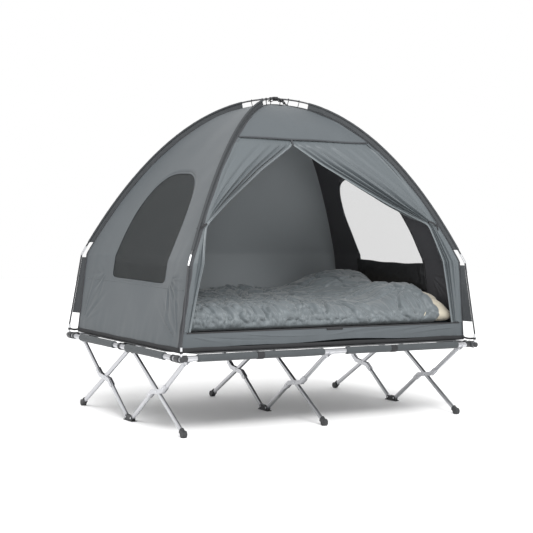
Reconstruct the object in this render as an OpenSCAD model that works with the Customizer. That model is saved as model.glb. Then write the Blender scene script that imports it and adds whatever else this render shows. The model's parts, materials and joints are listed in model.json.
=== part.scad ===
// Double folding cot with a dome tent, an air mattress and bedding on it.
// Millimetres, +Z up, +X along the bed, the door side faces -Y.
// The origin is on the floor under the middle of the cot.

/* [Cot frame] */
// Distance from the middle of the cot to each end bar's axis
end_bar_x = 949; // [800:1:1100]
// Distance from the middle of the cot to each side rail's axis
rail_y = 640; // [560:1:760]
// Height of the rail axes above the floor
rail_z = 404; // [370:1:480]
// Outside diameter of the rails and end bars
tube_d = 28; // [24:0.5:34]
// Wall of the rails and end bars
tube_wall = 1.4; // [1:0.1:2.5]
// Outside diameter of the fabric sleeves on the tubes
sleeve_d = 40; // [36:0.5:48]
// How far the end bars stand out past the side rails, cap included
bar_overhang = 42; // [36:1:60]

/* [Legs] */
// Distance from the middle of the cot to the end leg stations
station_x = 888; // [700:1:900]
// Place of the middle leg station along the bed
mid_station_x = -30; // [-60:1:-24]
// Width of a leg tube, seen from the end of the cot
leg_w = 26; // [20:0.5:32]
// Thickness of a leg tube along the bed
leg_t = 16; // [12:0.5:20]
// Wall of a leg tube
leg_wall = 1.4; // [1:0.1:2.5]
// Distance of the inner pivots from the middle of the cot
pivot_in = 30; // [28:1:40]
// How far inboard of the side rail's axis its leg pivot lies
pivot_inset = 44; // [36:1:60]
// How far below the rail axes the upper pivots lie
pivot_drop = 26; // [24:1:36]
// Height of the lower pivots, which is also the foot cap's radius
foot_r = 18; // [16:0.5:24]
// Radius of the pivot pins
pin_r = 3; // [2:0.25:4]
// Half the distance between the two halves of a split leg, across
split_gap_y = 55; // [48:1:70]
// Half the difference in height between the two halves of a split leg
split_gap_z = 8; // [4:1:14]

/* [Tent] */
// Height of the poles' axes at the hub
pole_apex_z = 1775; // [1500:5:2000]
// Height of the poles' elbows
pole_elbow_z = 870; // [760:5:1000]
// Distance of an elbow from the middle, along the diagonal
pole_elbow_s = 1095; // [1070:1:1140]
// Diameter of the tent poles
pole_d = 9; // [7:0.5:12]
// Distance between the poles and the canopy under them at the hub
canopy_drop = 33; // [24:1:45]
// Half the length of the tent at its base
base_l = 925; // [800:1:960]
// Half the width of the tent at its base
base_w = 602; // [520:1:640]
// Height of the tent floor's rim
rim_h = 18; // [12:1:40]
// Height of the door sill above the deck
sill_h = 102; // [60:1:160]
// Height of the header seam over the door
header_z = 1530; // [1450:5:1580]
// How far a wall sags inward at its middle
wall_sag = 42; // [0:1:70]
// Thickness of the canopy's fabric
fabric_t = 1.2; // [0.8:0.1:3]
// Height of the bottom of the end windows
window_z0 = 752; // [700:1:850]
// Height of the top of the end windows
window_z1 = 1340; // [1200:5:1400]
// Half the width of the end windows
window_w = 302; // [250:1:420]

/* [Bedding] */
// Height of the air mattress
mattress_h = 135; // [80:1:160]
// Height of the sleeping bag, lying flat
bag_h = 72; // [30:1:80]
// Half the length of the mattress
mattress_l = 880; // [700:1:890]
// Half the width of the mattress
mattress_w = 560; // [450:1:570]

/* [Hidden] */
$fn = 64;

// Clearances: a turning pin, plates beside a moving leg, a sliding ring, and soft parts
turn_gap = 0.06;
open_gap = 0.5;
side_gap = 0.3;
slide_gap = 0.3;
soft_gap = 0.5;

tube_r = tube_d / 2;
sleeve_r = sleeve_d / 2;
plate_t = 3;
// A split leg's tubes are thicker by the gap that its plates leave beside the plain leg
split_t = leg_t + 2 * side_gap;
plate_x = split_t / 2 + plate_t / 2;
stations = [-station_x, mid_station_x, station_x];

// Pivots of the door-side linkage as [y, z]: rail top, centre top, outer foot, centre foot, crossing
pivot_rail = [-(rail_y - pivot_inset), rail_z - pivot_drop];
pivot_top = [-pivot_in, rail_z - pivot_drop];
pivot_foot = [-(rail_y - pivot_inset), foot_r];
pivot_low = [-pivot_in, foot_r];
pivot_mid = (pivot_rail + pivot_low) / 2;
split_up = pivot_mid + [-split_gap_y, split_gap_z];
split_low = pivot_mid - [-split_gap_y, split_gap_z];
rail_at = [-rail_y, rail_z];
tongue = 42;      // how far a crossing plate reaches along each half of the split leg
rivet_at = 27;    // where the rivets sit along each half
eye_neck = 11;    // from a pivot to the end of the tube around its eye

// Places along the side rails
split_x = mid_station_x + 26;   // joint between a rail's two halves
gap_half = 70;                  // bare length either side of that joint
bare_end_x = station_x - 43;    // where the bare end of a rail starts
fitting_len = 26;               // socket of an end fitting along the rail
ring_wall = 5;
ring_r = tube_r + ring_wall;
rail_end_x = end_bar_x - ring_r;
fitting_w = 40;

// Deck, tent floor and bedding heights
deck_z = rail_z + sleeve_r + soft_gap;
deck_t = 3;
floor_z = deck_z + deck_t + soft_gap;
floor_t = 2;
base_z = floor_z + rim_h;
sill_z = deck_z + sill_h;
mattress_z = floor_z + floor_t + soft_gap;
bag_z = mattress_z + mattress_h + soft_gap;
bag_top = bag_z + bag_h;

// Tent poles stand on pins at the tips of the end bars
pin_y = rail_y + 28;
pin_s = norm([end_bar_x, pin_y]);
dir_x = end_bar_x / pin_s;
dir_y = pin_y / pin_s;
tent_pin_r = 3;
tent_pin_h = 34;
pole_r = pole_d / 2;
tip_h = 44;
tip_z = rail_z + tube_r + 2;
pole_round = 0.087;  // share of the arch's drop that grows with the fourth power
canopy_apex_z = pole_apex_z - canopy_drop;
canopy_elbow_s = pole_elbow_s - 30;
canopy_elbow_z = pole_elbow_z + 3;
crown_s = 30;        // where the walls stop short of the apex
knee = 0.34;         // share of a wall's rows below the elbow
seam_gap = 2.5;      // between the walls' edges
door_strip = 30;     // width of the front wall beside the door

// ---------- small helpers ----------
function lerp(a, b, k) = a + (b - a) * k;
function unit(v) = v / norm(v);
function arch(u) = (1 - pole_round) * u * u + pole_round * u * u * u * u;
// Share of the way from the apex to the elbow at which an arch has dropped by the share d
function arch_at(d) = sqrt((sqrt(pow(1 - pole_round, 2) + 4 * pole_round * d) - (1 - pole_round))
    / (2 * pole_round));

// A flat-oval section, long side along Y
module oval(w, t) {
    square([t, w - t], center = true);
    for (s = [-1, 1]) translate([0, s * (w - t) / 2]) circle(d = t);
}
// A bar with round ends from p to q
module capsule(p, q, r) {
    translate(p) circle(r);
    translate(q) circle(r);
    translate((p + q) / 2) rotate(atan2(q.y - p.y, q.x - p.x)) square([norm(q - p), 2 * r], center = true);
}
// Stands a [y, z] outline in the cross plane at x and gives it a thickness along X
module cross_plate(x, t) {
    translate([x - t / 2, 0, 0]) rotate([90, 0, 90]) linear_extrude(t) children();
}
module pin_x(p, r, h) {
    translate([0, p.x, p.y]) rotate([0, 90, 0]) cylinder(r = r, h = h, center = true);
}
// Points local +Z from p to q in the cross plane
module along(p, q) {
    translate([0, p.x, p.y]) rotate([atan2(p.x - q.x, q.y - p.y), 0, 0]) children();
}
module rod_x(x0, x1, y, z, r) {
    translate([x0, y, z]) rotate([0, 90, 0]) cylinder(r = r, h = x1 - x0);
}
module rod_y(y0, y1, x, z, r) {
    translate([x, y0, z]) rotate([-90, 0, 0]) cylinder(r = r, h = y1 - y0);
}
module tube_x(x0, x1, y, z, r_out, r_in) {
    difference() {
        rod_x(x0, x1, y, z, r_out);
        rod_x(x0 - 1, x1 + 1, y, z, r_in);
    }
}
module tube_y(y0, y1, x, z, r_out, r_in) {
    difference() {
        rod_y(y0, y1, x, z, r_out);
        rod_y(y0 - 1, y1 + 1, x, z, r_in);
    }
}
module at_stations() {
    for (x = stations) translate([x, 0, 0]) children();
}
module back() {
    mirror([0, 1, 0]) children();
}
// A slab with round corners; each of the sizes is a half size
module pad_outline(l, w, r) {
    square([2 * (l - r), 2 * w], center = true);
    square([2 * l, 2 * (w - r)], center = true);
    for (i = [-1, 1], j = [-1, 1]) translate([i * (l - r), j * (w - r)]) circle(r);
}
// A hollow pad: a thin closed skin around still air or loose filling
module hollow_pad(l, w, r, h, skin) {
    difference() {
        linear_extrude(h) pad_outline(l, w, r);
        translate([0, 0, skin]) linear_extrude(h - 2 * skin) pad_outline(l - skin, w - skin, r - skin);
    }
}
// A closed sheet between two grids of points of the same size
module sheet(a, b, wrap = false) {
    rows = len(a);
    cols = len(a[0]);
    last = wrap ? cols - 1 : cols - 2;
    n = rows * cols;
    pa = [for (r = a) for (p = r) p];
    pb = [for (r = b) for (p = r) p];
    face = [for (i = [0:rows - 2], j = [0:last]) let (k = (j + 1) % cols)
        each [[i * cols + j, i * cols + cols + j, i * cols + cols + k],
              [i * cols + j, i * cols + cols + k, i * cols + k]]];
    under = [for (f = face) [f[2] + n, f[1] + n, f[0] + n]];
    hems = [for (j = [0:last]) let (k = (j + 1) % cols, m = (rows - 1) * cols)
        each [[j, k, k + n], [j, k + n, j + n],
              [m + k, m + j, m + j + n], [m + k, m + j + n, m + k + n]]];
    sides = wrap ? [] : [for (i = [0:rows - 2]) let (p = i * cols, q = p + cols, e = cols - 1)
        each [[q, p, p + n], [q, p + n, q + n],
              [p + e, q + e, q + e + n], [p + e, q + e + n, p + e + n]]];
    polyhedron(concat(pa, pb), concat(face, under, hems, sides), convexity = 6);
}
// A round rod swept through points, with its section square to the path
module sweep(path, r, sides = 8) {
    n = len(path);
    ring = [for (i = [0:n - 1])
        let (t = unit(path[min(i + 1, n - 1)] - path[max(i - 1, 0)]),
             u = unit(cross(t, [-path[n - 1].y, path[n - 1].x, 0])), w = cross(t, u))
        [for (k = [0:sides - 1]) path[i] + r * (cos(360 * k / sides) * u + sin(360 * k / sides) * w)]];
    pts = [for (q = ring) for (p = q) p];
    skin = [for (i = [0:n - 2], k = [0:sides - 1]) let (m = (k + 1) % sides)
        each [[i * sides + k, i * sides + m, (i + 1) * sides + m],
              [i * sides + k, (i + 1) * sides + m, (i + 1) * sides + k]]];
    caps = [[for (k = [sides - 1:-1:0]) k], [for (k = [0:sides - 1]) (n - 1) * sides + k]];
    polyhedron(pts, concat(skin, caps), convexity = 4);
}

// ---------- cot: centre feet and centre frame ----------
foot_ear_r = 11;
sole_t = foot_r - leg_w / 2 - soft_gap;
module centre_feet() color("#26282b") at_stations() {
    difference() {
        union() {
            translate([-15, -pivot_in - 20, 0]) cube([30, 2 * pivot_in + 40, sole_t]);
            for (s = [-1, 1]) difference() {
                cross_plate(s * (plate_x + side_gap), plate_t) {
                    capsule(pivot_low, [pivot_in, foot_r], foot_ear_r);
                    translate([-pivot_in - foot_ear_r, 0]) square([2 * pivot_in + 2 * foot_ear_r, foot_r]);
                }
            }
        }
        for (s = [-1, 1]) pin_x([s * pivot_in, foot_r], pin_r, 60);
    }
}
module centre_foot_pins() color("#c9ccd1") at_stations()
    for (s = [-1, 1]) headed_pin([s * pivot_in, foot_r], 2 * plate_x + plate_t + 2 * side_gap);

// A pin with a low round head outside each of its two plates
module headed_pin(p, grip) {
    pin_x(p, pin_r, grip + 2);
    for (s = [-1, 1]) translate([s * (grip / 2 + 0.9), 0, 0]) pin_x(p, pin_r + 2.5, 1.8);
}

module centre_rail() color("#c4c8ce") {
    tube_x(-rail_end_x + 2, split_x - 0.5, 0, rail_z, tube_r, tube_r - tube_wall);
    tube_x(split_x + 0.5, rail_end_x - 2, 0, rail_z, tube_r, tube_r - tube_wall);
}
module coupler_x(y) {
    tube_x(split_x - 75, split_x + 75, y, rail_z, tube_r - tube_wall, tube_r - tube_wall - 1.6);
}
module centre_rail_coupler() color("#9ea3aa") coupler_x(0);

saddle_len = 30;
saddle_wall = 3;
// Half a collar under a rail, which leaves the rail's top bare
module saddle(p) {
    difference() {
        cross_plate(0, saddle_len) translate(p) circle(tube_r + saddle_wall);
        cross_plate(0, saddle_len + 2) translate(p) circle(tube_r);
        translate([-saddle_len, p.x - 2 * tube_r, p.y + 5]) cube([2 * saddle_len, 4 * tube_r, 2 * tube_r]);
    }
}
strip_half = 92;
module centre_brackets() color("#232427") at_stations() {
    difference() {
        union() {
            saddle([0, rail_z]);
            for (s = [-1, 1]) cross_plate(s * (plate_x + side_gap), plate_t) difference() {
                union() {
                    capsule([-strip_half, rail_z - pivot_drop + 3], [strip_half, rail_z - pivot_drop + 3], 8);
                    for (m = [-1, 1]) capsule([m * pivot_in, rail_z - pivot_drop], [0, rail_z - 6], 12);
                }
                translate([0, rail_z]) circle(tube_r);
            }
        }
        for (s = [-1, 1]) pin_x([s * pivot_in, rail_z - pivot_drop], pin_r, 60);
    }
}
module centre_bracket_pins() color("#c9ccd1") at_stations()
    for (s = [-1, 1])
        headed_pin([s * pivot_in, rail_z - pivot_drop], 2 * plate_x + plate_t + 2 * side_gap);

bar_end_y = rail_y + bar_overhang;
yoke_w = 14;
module at_ends() {
    for (s = [-1, 1]) scale_x(s) children();
}
module scale_x(s) {
    if (s < 0) mirror([1, 0, 0]) children();
    else children();
}
module end_bars() color("#c4c8ce") at_ends() for (m = [0, 1]) mirror([0, m, 0])
    difference() {
        tube_y(0.5, bar_end_y - 6, end_bar_x, rail_z, tube_r, tube_r - tube_wall);
        translate([end_bar_x, pin_y, rail_z]) cylinder(r = tent_pin_r, h = 2 * tube_r);
    }
module end_bar_couplers() color("#9ea3aa") at_ends()
    tube_y(-60, 60, end_bar_x, rail_z, tube_r - tube_wall, tube_r - tube_wall - 1.6);
module end_bar_caps() color("#1f2022") at_ends() for (m = [0, 1]) mirror([0, m, 0]) {
    rod_y(bar_end_y - 6, bar_end_y, end_bar_x, rail_z, tube_r);
    rod_y(bar_end_y - 16, bar_end_y - 6, end_bar_x, rail_z, tube_r - tube_wall);
}
// A socket on the end of a rail with a ring around the end bar
module end_fitting(y, ring_w, bore_gap) {
    difference() {
        union() {
            rod_x(rail_end_x - fitting_len, rail_end_x + 4, y, rail_z, tube_r + 3);
            rod_y(y - ring_w / 2, y + ring_w / 2, end_bar_x, rail_z, ring_r);
        }
        rod_x(rail_end_x - fitting_len - 1, rail_end_x - 2, y, rail_z, tube_r);
        rod_y(y - ring_w, y + ring_w, end_bar_x, rail_z, tube_r + bore_gap);
    }
}
module end_yokes() color("#26282b") at_ends() end_fitting(0, yoke_w, 0);

sleeve_in_y = 72;
sleeve_out_y = 500;
module end_sleeves() color("#5e666b") at_ends() for (m = [0, 1]) mirror([0, m, 0])
    tube_y(sleeve_in_y, sleeve_out_y, end_bar_x, rail_z, sleeve_r, tube_r);
module deck() color("#5e666b") translate([0, 0, deck_z]) linear_extrude(deck_t)
    polygon([for (c = [[1, 1], [-1, 1], [-1, -1], [1, -1]])
        let (far = [end_bar_x - 8, sleeve_out_y - 20], near = [bare_end_x, rail_y - 3])
        each (c.x * c.y > 0 ? [[c.x * far.x, c.y * far.y], [c.x * near.x, c.y * near.y]]
            : [[c.x * near.x, c.y * near.y], [c.x * far.x, c.y * far.y]])]);
module tent_pins() color("#d5d8dc") at_ends() for (m = [0, 1]) mirror([0, m, 0])
    translate([end_bar_x, pin_y, rail_z + tube_r - tube_wall]) cylinder(r = tent_pin_r, h = tent_pin_h);

// ---------- cot: legs of the door side, mirrored for the back ----------
// An oval tube from the eye at p to the open end q: solid by the eye, hollow past it
module leg_bar(p, q, t, bore) {
    eye_t = t - 2 * leg_wall;
    along(p, q) difference() {
        union() {
            translate([0, 0, eye_neck]) linear_extrude(norm(q - p) - eye_neck) oval(leg_w, t);
            translate([-eye_t / 2, 2 - leg_w / 2, 0]) cube([eye_t, leg_w - 4, eye_neck + 4]);
            rotate([0, 90, 0]) cylinder(r = leg_w / 2 - 0.6, h = eye_t, center = true);
        }
        translate([0, 0, eye_neck + 22]) linear_extrude(norm(q - p)) oval(leg_w - 2 * leg_wall, t - 2 * leg_wall);
        rotate([0, 90, 0]) cylinder(r = bore, h = 60, center = true);
    }
}
function toward(p, q, d) = p + unit(q - p) * d;

module plain_leg(bore_top) {
    difference() {
        leg_bar(pivot_top, pivot_foot, leg_t, bore_top);
        pin_x(pivot_mid, pin_r + turn_gap, 60);
    }
}
module plain_legs_front() color("#c4c8ce") at_stations() plain_leg(pin_r + turn_gap);
module plain_legs_back() color("#c4c8ce") back() at_stations() plain_leg(pin_r + open_gap);

module outer_foot() {
    cap_t = leg_t + 9;
    difference() {
        union() {
            pin_x(pivot_foot, foot_r, cap_t);
            along(pivot_foot, pivot_mid) linear_extrude(30) oval(2 * foot_r, cap_t);
        }
        along(pivot_foot, pivot_mid) linear_extrude(60) oval(leg_w, leg_t);
    }
}
module outer_feet_front() color("#1d1e20") at_stations() outer_foot();
module outer_feet_back() color("#1d1e20") back() outer_feet_front();

// Half of the split leg: an eye at the pivot p and a plain end at the crossing plates
module split_leg(p, end) {
    difference() {
        leg_bar(p, end, split_t, pin_r + (p == pivot_low ? turn_gap : 0));
        pin_x(toward(end, p, rivet_at), pin_r, 60);
    }
}
module leg_uppers_front() color("#c4c8ce") at_stations() split_leg(pivot_rail, split_up);
module leg_uppers_back() color("#c4c8ce") back() leg_uppers_front();
module leg_lowers_front() color("#c4c8ce") at_stations() split_leg(pivot_low, split_low);
module leg_lowers_back() color("#c4c8ce") back() leg_lowers_front();

module crossing_outline() {
    capsule(toward(split_up, pivot_rail, tongue), split_up, leg_w / 2 - 1);
    capsule(split_up, split_low, leg_w / 2 - 1);
    capsule(split_low, toward(split_low, pivot_low, tongue), leg_w / 2 - 1);
}
module cross_brackets_front() color("#d2d5d9") at_stations() difference() {
    for (s = [-1, 1]) cross_plate(s * plate_x, plate_t) crossing_outline();
    pin_x(pivot_mid, pin_r, 60);
    pin_x(toward(split_up, pivot_rail, rivet_at), pin_r, 60);
    pin_x(toward(split_low, pivot_low, rivet_at), pin_r, 60);
}
module cross_brackets_back() color("#d2d5d9") back() cross_brackets_front();

// Pins fixed in the split leg: crossing pivot, rail pivot and the two rivets of each crossing
module leg_pins_front() color("#aeb2b8") at_stations() {
    grip = 2 * plate_x + plate_t;
    headed_pin(pivot_mid, grip);
    headed_pin(toward(split_up, pivot_rail, rivet_at), grip);
    headed_pin(toward(split_low, pivot_low, rivet_at), grip);
    headed_pin(pivot_rail, grip + 2 * side_gap + 0.4);
}
module leg_pins_back() color("#aeb2b8") back() leg_pins_front();

module rail_brackets_front() color("#cfd2d6") at_stations() difference() {
    union() {
        saddle(rail_at);
        for (s = [-1, 1]) cross_plate(s * (plate_x + side_gap), plate_t) difference() {
            capsule(pivot_rail, rail_at, 12);
            translate(rail_at) circle(tube_r);
        }
    }
    pin_x(pivot_rail, pin_r + turn_gap, 60);
}
module rail_brackets_back() color("#cfd2d6") back() rail_brackets_front();

module side_rail_front() color("#c4c8ce") {
    tube_x(-rail_end_x + 2, split_x - 0.5, -rail_y, rail_z, tube_r, tube_r - tube_wall);
    tube_x(split_x + 0.5, rail_end_x - 2, -rail_y, rail_z, tube_r, tube_r - tube_wall);
}
module side_rail_back() color("#c4c8ce") back() side_rail_front();
module rail_coupler_front() color("#9ea3aa") coupler_x(-rail_y);
module rail_coupler_back() color("#9ea3aa") coupler_x(rail_y);

collar_in = 52;
module rail_fittings_front() color("#1f2022") at_ends() {
    end_fitting(-rail_y, fitting_w, slide_gap);
    tube_y(-rail_y + collar_in - 6, -rail_y + collar_in + 6, end_bar_x, rail_z, tube_r + 4, tube_r + slide_gap);
}
module rail_fittings_back() color("#1f2022") back() rail_fittings_front();

module rail_sleeves_front() color("#646c71") {
    tube_x(-bare_end_x, split_x - gap_half, -rail_y, rail_z, sleeve_r, tube_r);
    tube_x(split_x + gap_half, bare_end_x, -rail_y, rail_z, sleeve_r, tube_r);
}
module rail_sleeves_back() color("#646c71") back() rail_sleeves_front();

strap_x = [-475, 385];
strap_w = 44;
module rail_straps_front() color("#1b1c1e") for (x = strap_x) difference() {
    tube_x(x - strap_w / 2, x + strap_w / 2, -rail_y, rail_z, sleeve_r + 1.6, sleeve_r);
    translate([x - strap_w, -rail_y - 8, rail_z]) cube([2 * strap_w, 4 * sleeve_r, 2 * sleeve_r]);
}
module rail_straps_back() color("#1b1c1e") back() rail_straps_front();

// ---------- tent: floor and canopy ----------
module tent_floor() color("#1a1b1d") difference() {
    translate([-base_l, -base_w, floor_z]) cube([2 * base_l, 2 * base_w, rim_h - soft_gap]);
    translate([-base_l + 2, -base_w + 2, floor_z + floor_t])
        cube([2 * base_l - 4, 2 * base_w - 4, rim_h]);
}

// Corner seam at the share h of the way up, as [half length, half width, height]
function seam(h) = h < knee
    ? let (k = h / knee) [lerp(base_l - 1, dir_x * canopy_elbow_s, k),
        lerp(base_w - 1, dir_y * canopy_elbow_s, k), lerp(base_z, canopy_elbow_z, k)]
    : let (u = lerp(1, crown_s / canopy_elbow_s, (h - knee) / (1 - knee)), s = u * canopy_elbow_s)
        [dir_x * s, dir_y * s, canopy_apex_z - (canopy_apex_z - canopy_elbow_z) * arch(u)];
// The share of the way up at which the seam reaches the height z
function seam_at(z) = z < canopy_elbow_z
    ? knee * (z - base_z) / (canopy_elbow_z - base_z)
    : let (u = arch_at((canopy_apex_z - z) / (canopy_apex_z - canopy_elbow_z)))
        knee + (1 - knee) * (1 - u) / (1 - crown_s / canopy_elbow_s);
function sag_at(h) = wall_sag * sin(180 * (seam(h).z - base_z) / (canopy_apex_z - base_z));
// A point of an end wall (+X) or a side wall (-Y), at v from -1 to 1 across and h up
function end_point(v, h) = let (s = seam(h))
    [s.x - sag_at(h) * (1 - v * v), v * (s.y - seam_gap), s.z];
function side_point(v, h) = let (s = seam(h))
    [v * (s.x - seam_gap), -(s.y - sag_at(h) * (1 - v * v)), s.z];
function wall_point(v, h, side) = side ? side_point(v, h) : end_point(v, h);
function wall_normal(v, h, side) = let (d = 0.002)
    unit(cross(wall_point(v + d, h, side) - wall_point(v - d, h, side),
        wall_point(v, min(h + d, 1), side) - wall_point(v, max(h - d, 0), side)));
function wall_offset(v, h, side, depth) = wall_point(v, h, side) - depth * wall_normal(v, h, side);

// A plain wall without an opening
module wall_panel(side, rows, cols) {
    function grid(depth) = [for (i = [0:rows]) [for (j = [0:cols])
        wall_offset(2 * j / cols - 1, i / rows, side, depth)]];
    sheet(grid(0), grid(fabric_t));
}
// Points around the edge of a wall as [v, h], anticlockwise from the bottom left
function edge_points(n_low, n_side, n_top) = concat(
    [for (i = [0:n_low - 1]) [2 * i / n_low - 1, 0]],
    [for (i = [0:n_side - 1]) [1, i / n_side]],
    [for (i = [0:n_top - 1]) [1 - 2 * i / n_top, 1]],
    [for (i = [0:n_side - 1]) [-1, 1 - i / n_side]]);
// Outline of an end window in the direction a, as [y, z]: a dome over a nearly square foot
window_mid = lerp(window_z0, window_z1, 0.38);
window_lean = 0.05;    // how far the middle line leans back as it goes up
window_taper = 0.00022;
function window_yz(a) = let (c = cos(a), s = sin(a), n = s > 0 ? 2.8 : 7,
    r = pow(pow(abs(c), n) + pow(abs(s), n), -1 / n),
    z = window_mid + (s > 0 ? window_z1 - window_mid : window_mid - window_z0) * s * r)
    [window_w * c * r * (1 - window_taper * (z - window_mid)) + window_lean * (z - window_mid), z];
function window_vh(a) = let (q = window_yz(a), h = seam_at(q.y)) [q.x / seam(h).y, h];
function window_edge(e) = window_vh(atan2((e.y - seam_at(window_mid)) * 1.6, e.x));
// Outline of the door as a share of the wall
function door_edge(e) = let (h = lerp(seam_at(sill_z), seam_at(header_z), e.y))
    [e.x * (1 - door_strip / seam(h).x), h];

module wall_with_hole(side, rings, edge, inner) {
    function grid(depth) = [for (i = [0:rings]) [for (j = [0:len(edge) - 1])
        let (p = lerp(inner[j], edge[j], i / rings)) wall_offset(p.x, p.y, side, depth)]];
    sheet(grid(fabric_t), grid(0), wrap = true);
}
end_edge = edge_points(14, 20, 4);
door_rim = edge_points(16, 24, 8);
module canopy_right() color("#70787d")
    wall_with_hole(false, 6, end_edge, [for (e = end_edge) window_edge(e)]);
module canopy_left() color("#70787d") mirror([1, 0, 0]) canopy_right();
module canopy_front() color("#70787d")
    wall_with_hole(true, 5, door_rim, [for (e = door_rim) door_edge(e)]);
module canopy_back() color("#666e73") back() wall_panel(true, 26, 14);
module crown_patch() color("#4a5156") translate([0, 0, canopy_apex_z - 0.5]) rotate(45)
    linear_extrude(2) square(90, center = true);

// A patch of cloth inside an end wall, between two heights and two depths behind its outer face
module inner_patch(z0, z1, d0, d1, rows, half) {
    function grid(depth) = [for (i = [0:rows]) let (z = lerp(z0, z1, i / rows), h = seam_at(z))
        [for (j = [-4:4]) wall_offset(half(z) * j / 4 / seam(h).y, h, false, depth)]];
    sheet(grid(d0), grid(d1));
}
// Half the width of a window's net, a little wider than the window
net_hem = 8;
function net_half(z) = let (up = z > window_mid, n = up ? 2.8 : 7,
    reach = (up ? window_z1 - window_mid : window_mid - window_z0) + net_hem,
    t = abs(z - window_mid) / reach) (window_w + net_hem) * pow(1 - pow(t, n), 1 / n);
module window_meshes() color("#3c4448", 0.6) at_ends()
    inner_patch(window_z0 - 6, window_z1 + 6, 2.6, 3.6, 16, function (z) net_half(z));

// The window's cover, folded down into a pocket along the foot of the window
cover_z = [688, 852];
module window_rolls() color("#2f3639") at_ends()
    inner_patch(cover_z[0], cover_z[1], 7, 19, 6, function (z) window_w + 16);

// A door flap: gathered at its tie, fanned out up to the header and hanging down to the sill
tie_right = [722, 1082];
tie_left = [772, 1058];
door_mid = -80;      // where the two flaps meet under the header
flap_t = 7;
function flap_in(z, tie, mid) = z > tie.y
    ? lerp(tie.x, mid, pow((z - tie.y) / (header_z - 36 - tie.y), 1.08))
    : lerp(tie.x, base_l - 118, pow((tie.y - z) / (tie.y - sill_z), 0.8));
function flap_grid(depth, tie, mid) = let (z0 = sill_z + 8, z1 = header_z + 4)
    [for (i = [0:22]) let (z = lerp(z0, z1, i / 22), h = seam_at(z), s = seam(h))
        [for (j = [0:8]) let (x0 = max(flap_in(z, tie, mid), mid), x1 = s.x - door_strip - 4,
            x = lerp(min(x0, x1 - 20), x1, j / 8)) wall_offset(x / (s.x - seam_gap), h, true, depth)]];
module door_flap(tie, mid) sheet(flap_grid(5, tie, mid), flap_grid(5 + flap_t, tie, mid));
module door_flap_right() color("#6a7277") door_flap(tie_right, door_mid + 8);
module door_flap_left() color("#6a7277") mirror([1, 0, 0]) door_flap(tie_left, 8 - door_mid);

// ---------- tent: poles ----------
// A point of a pole in its own plane as [distance from the middle, height]
function pole_sz(u) = [u * pole_elbow_s, pole_apex_z - (pole_apex_z - pole_elbow_z) * arch(u)];
function on_diagonal(q) = [dir_x * q.x, dir_y * q.x, q.y];
elbow_share = 0.976;   // where the upper pole enters the elbow
hub_r = 26;
tip_top = [pin_s, tip_z + tip_h + 0.8];
elbow_low = lerp([pole_elbow_s, pole_elbow_z], tip_top, 0.012);
module at_corners() {
    for (m = [0, 1], k = [0, 1]) mirror([m, 0, 0]) mirror([0, k, 0]) children();
}
module upper_poles() color("#2c2f33") at_corners()
    sweep([for (i = [0:22]) on_diagonal(pole_sz(lerp(hub_r / pole_elbow_s, elbow_share, i / 22)))], pole_r);
module pole_elbows() color("#b9bdc3") at_corners()
    sweep([for (q = concat([for (i = [0:5]) pole_sz(lerp(elbow_share, 1, i / 5))], [elbow_low]))
        on_diagonal(q)], pole_r + 1.2);
module lower_poles() color("#2c2f33") at_corners()
    sweep([for (i = [0:4]) on_diagonal(lerp(elbow_low, tip_top, i / 4))], pole_r);
module pole_tips() color("#c2c5ca") at_corners() translate([end_bar_x, pin_y, tip_z]) difference() {
    cylinder(r = pole_r + 1.5, h = tip_h);
    translate([0, 0, -1]) cylinder(r = tent_pin_r + slide_gap, h = tip_h - 5);
}
module pole_hub() color("#2a2b2e") translate([0, 0, pole_apex_z]) {
    cylinder(r = hub_r, h = 10, center = true);
    cylinder(r = 15, h = 22, center = true);
}
// Fabric fin between a pole and the canopy's seam, in the pole's plane
fin_gap = 0.6;
fin_t = 1.6;
function pole_at(z) = z > pole_elbow_z
    ? arch_at((pole_apex_z - z) / (pole_apex_z - pole_elbow_z)) * pole_elbow_s
    : lerp(pole_elbow_s, pin_s, (pole_elbow_z - z) / (pole_elbow_z - tip_top.y));
function canopy_s(u) = [u * canopy_elbow_s, canopy_apex_z - (canopy_apex_z - canopy_elbow_z) * arch(u)];
module fin(outer, inner) {
    rotate([90, 0, atan2(dir_y, dir_x)]) translate([0, 0, -fin_t / 2]) linear_extrude(fin_t)
        polygon(concat(outer, [for (i = [len(inner) - 1:-1:0]) inner[i]]));
}
function inward(q, d, u) = let (e = 0.01, t = unit(pole_sz(u + e) - pole_sz(u - e))) q + d * [t.y, -t.x];
fin_zs = [for (i = [0:6]) lerp(sill_z + 6, pole_elbow_z - 14, i / 6)];
function fin_web(side) = [for (z = fin_zs) let (c = seam(seam_at(z)))
    [for (p = [on_diagonal([pole_at(z) - pole_r - fin_gap - 1.5, z]), [c.x + 3, c.y + 1.5, z]])
        p + side * fin_t / 2 * [-dir_y, dir_x, 0]]];
module pole_sleeves() color("#3f464a") at_corners() {
    lift = pole_r + fin_gap;
    us = [for (i = [0:16]) lerp(0.17, 0.966, i / 16)];
    fin([for (u = us) inward(pole_sz(u), lift, u)], [for (u = us) canopy_s(u) + [1, 2]]);
    sheet(fin_web(1), fin_web(-1));
}
// Webbing from each bottom corner of the tent to a ring on its pole tip
strap_t = 1.6;
module corner_straps() color("#18191b") at_corners() {
    p = [base_l - 6, base_w + 1.5];
    q = [end_bar_x - 5, pin_y - 4];
    translate([p.x, p.y, base_z - 13]) rotate(atan2(q.y - p.y, q.x - p.x))
        translate([0, -strap_t / 2, 0]) cube([norm(q - p) - 2, strap_t, 12]);
    translate([end_bar_x, pin_y, base_z - 14]) difference() {
        cylinder(r = pole_r + 4, h = 14);
        translate([0, 0, -1]) cylinder(r = pole_r + 1.5, h = 16);
    }
}

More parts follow.
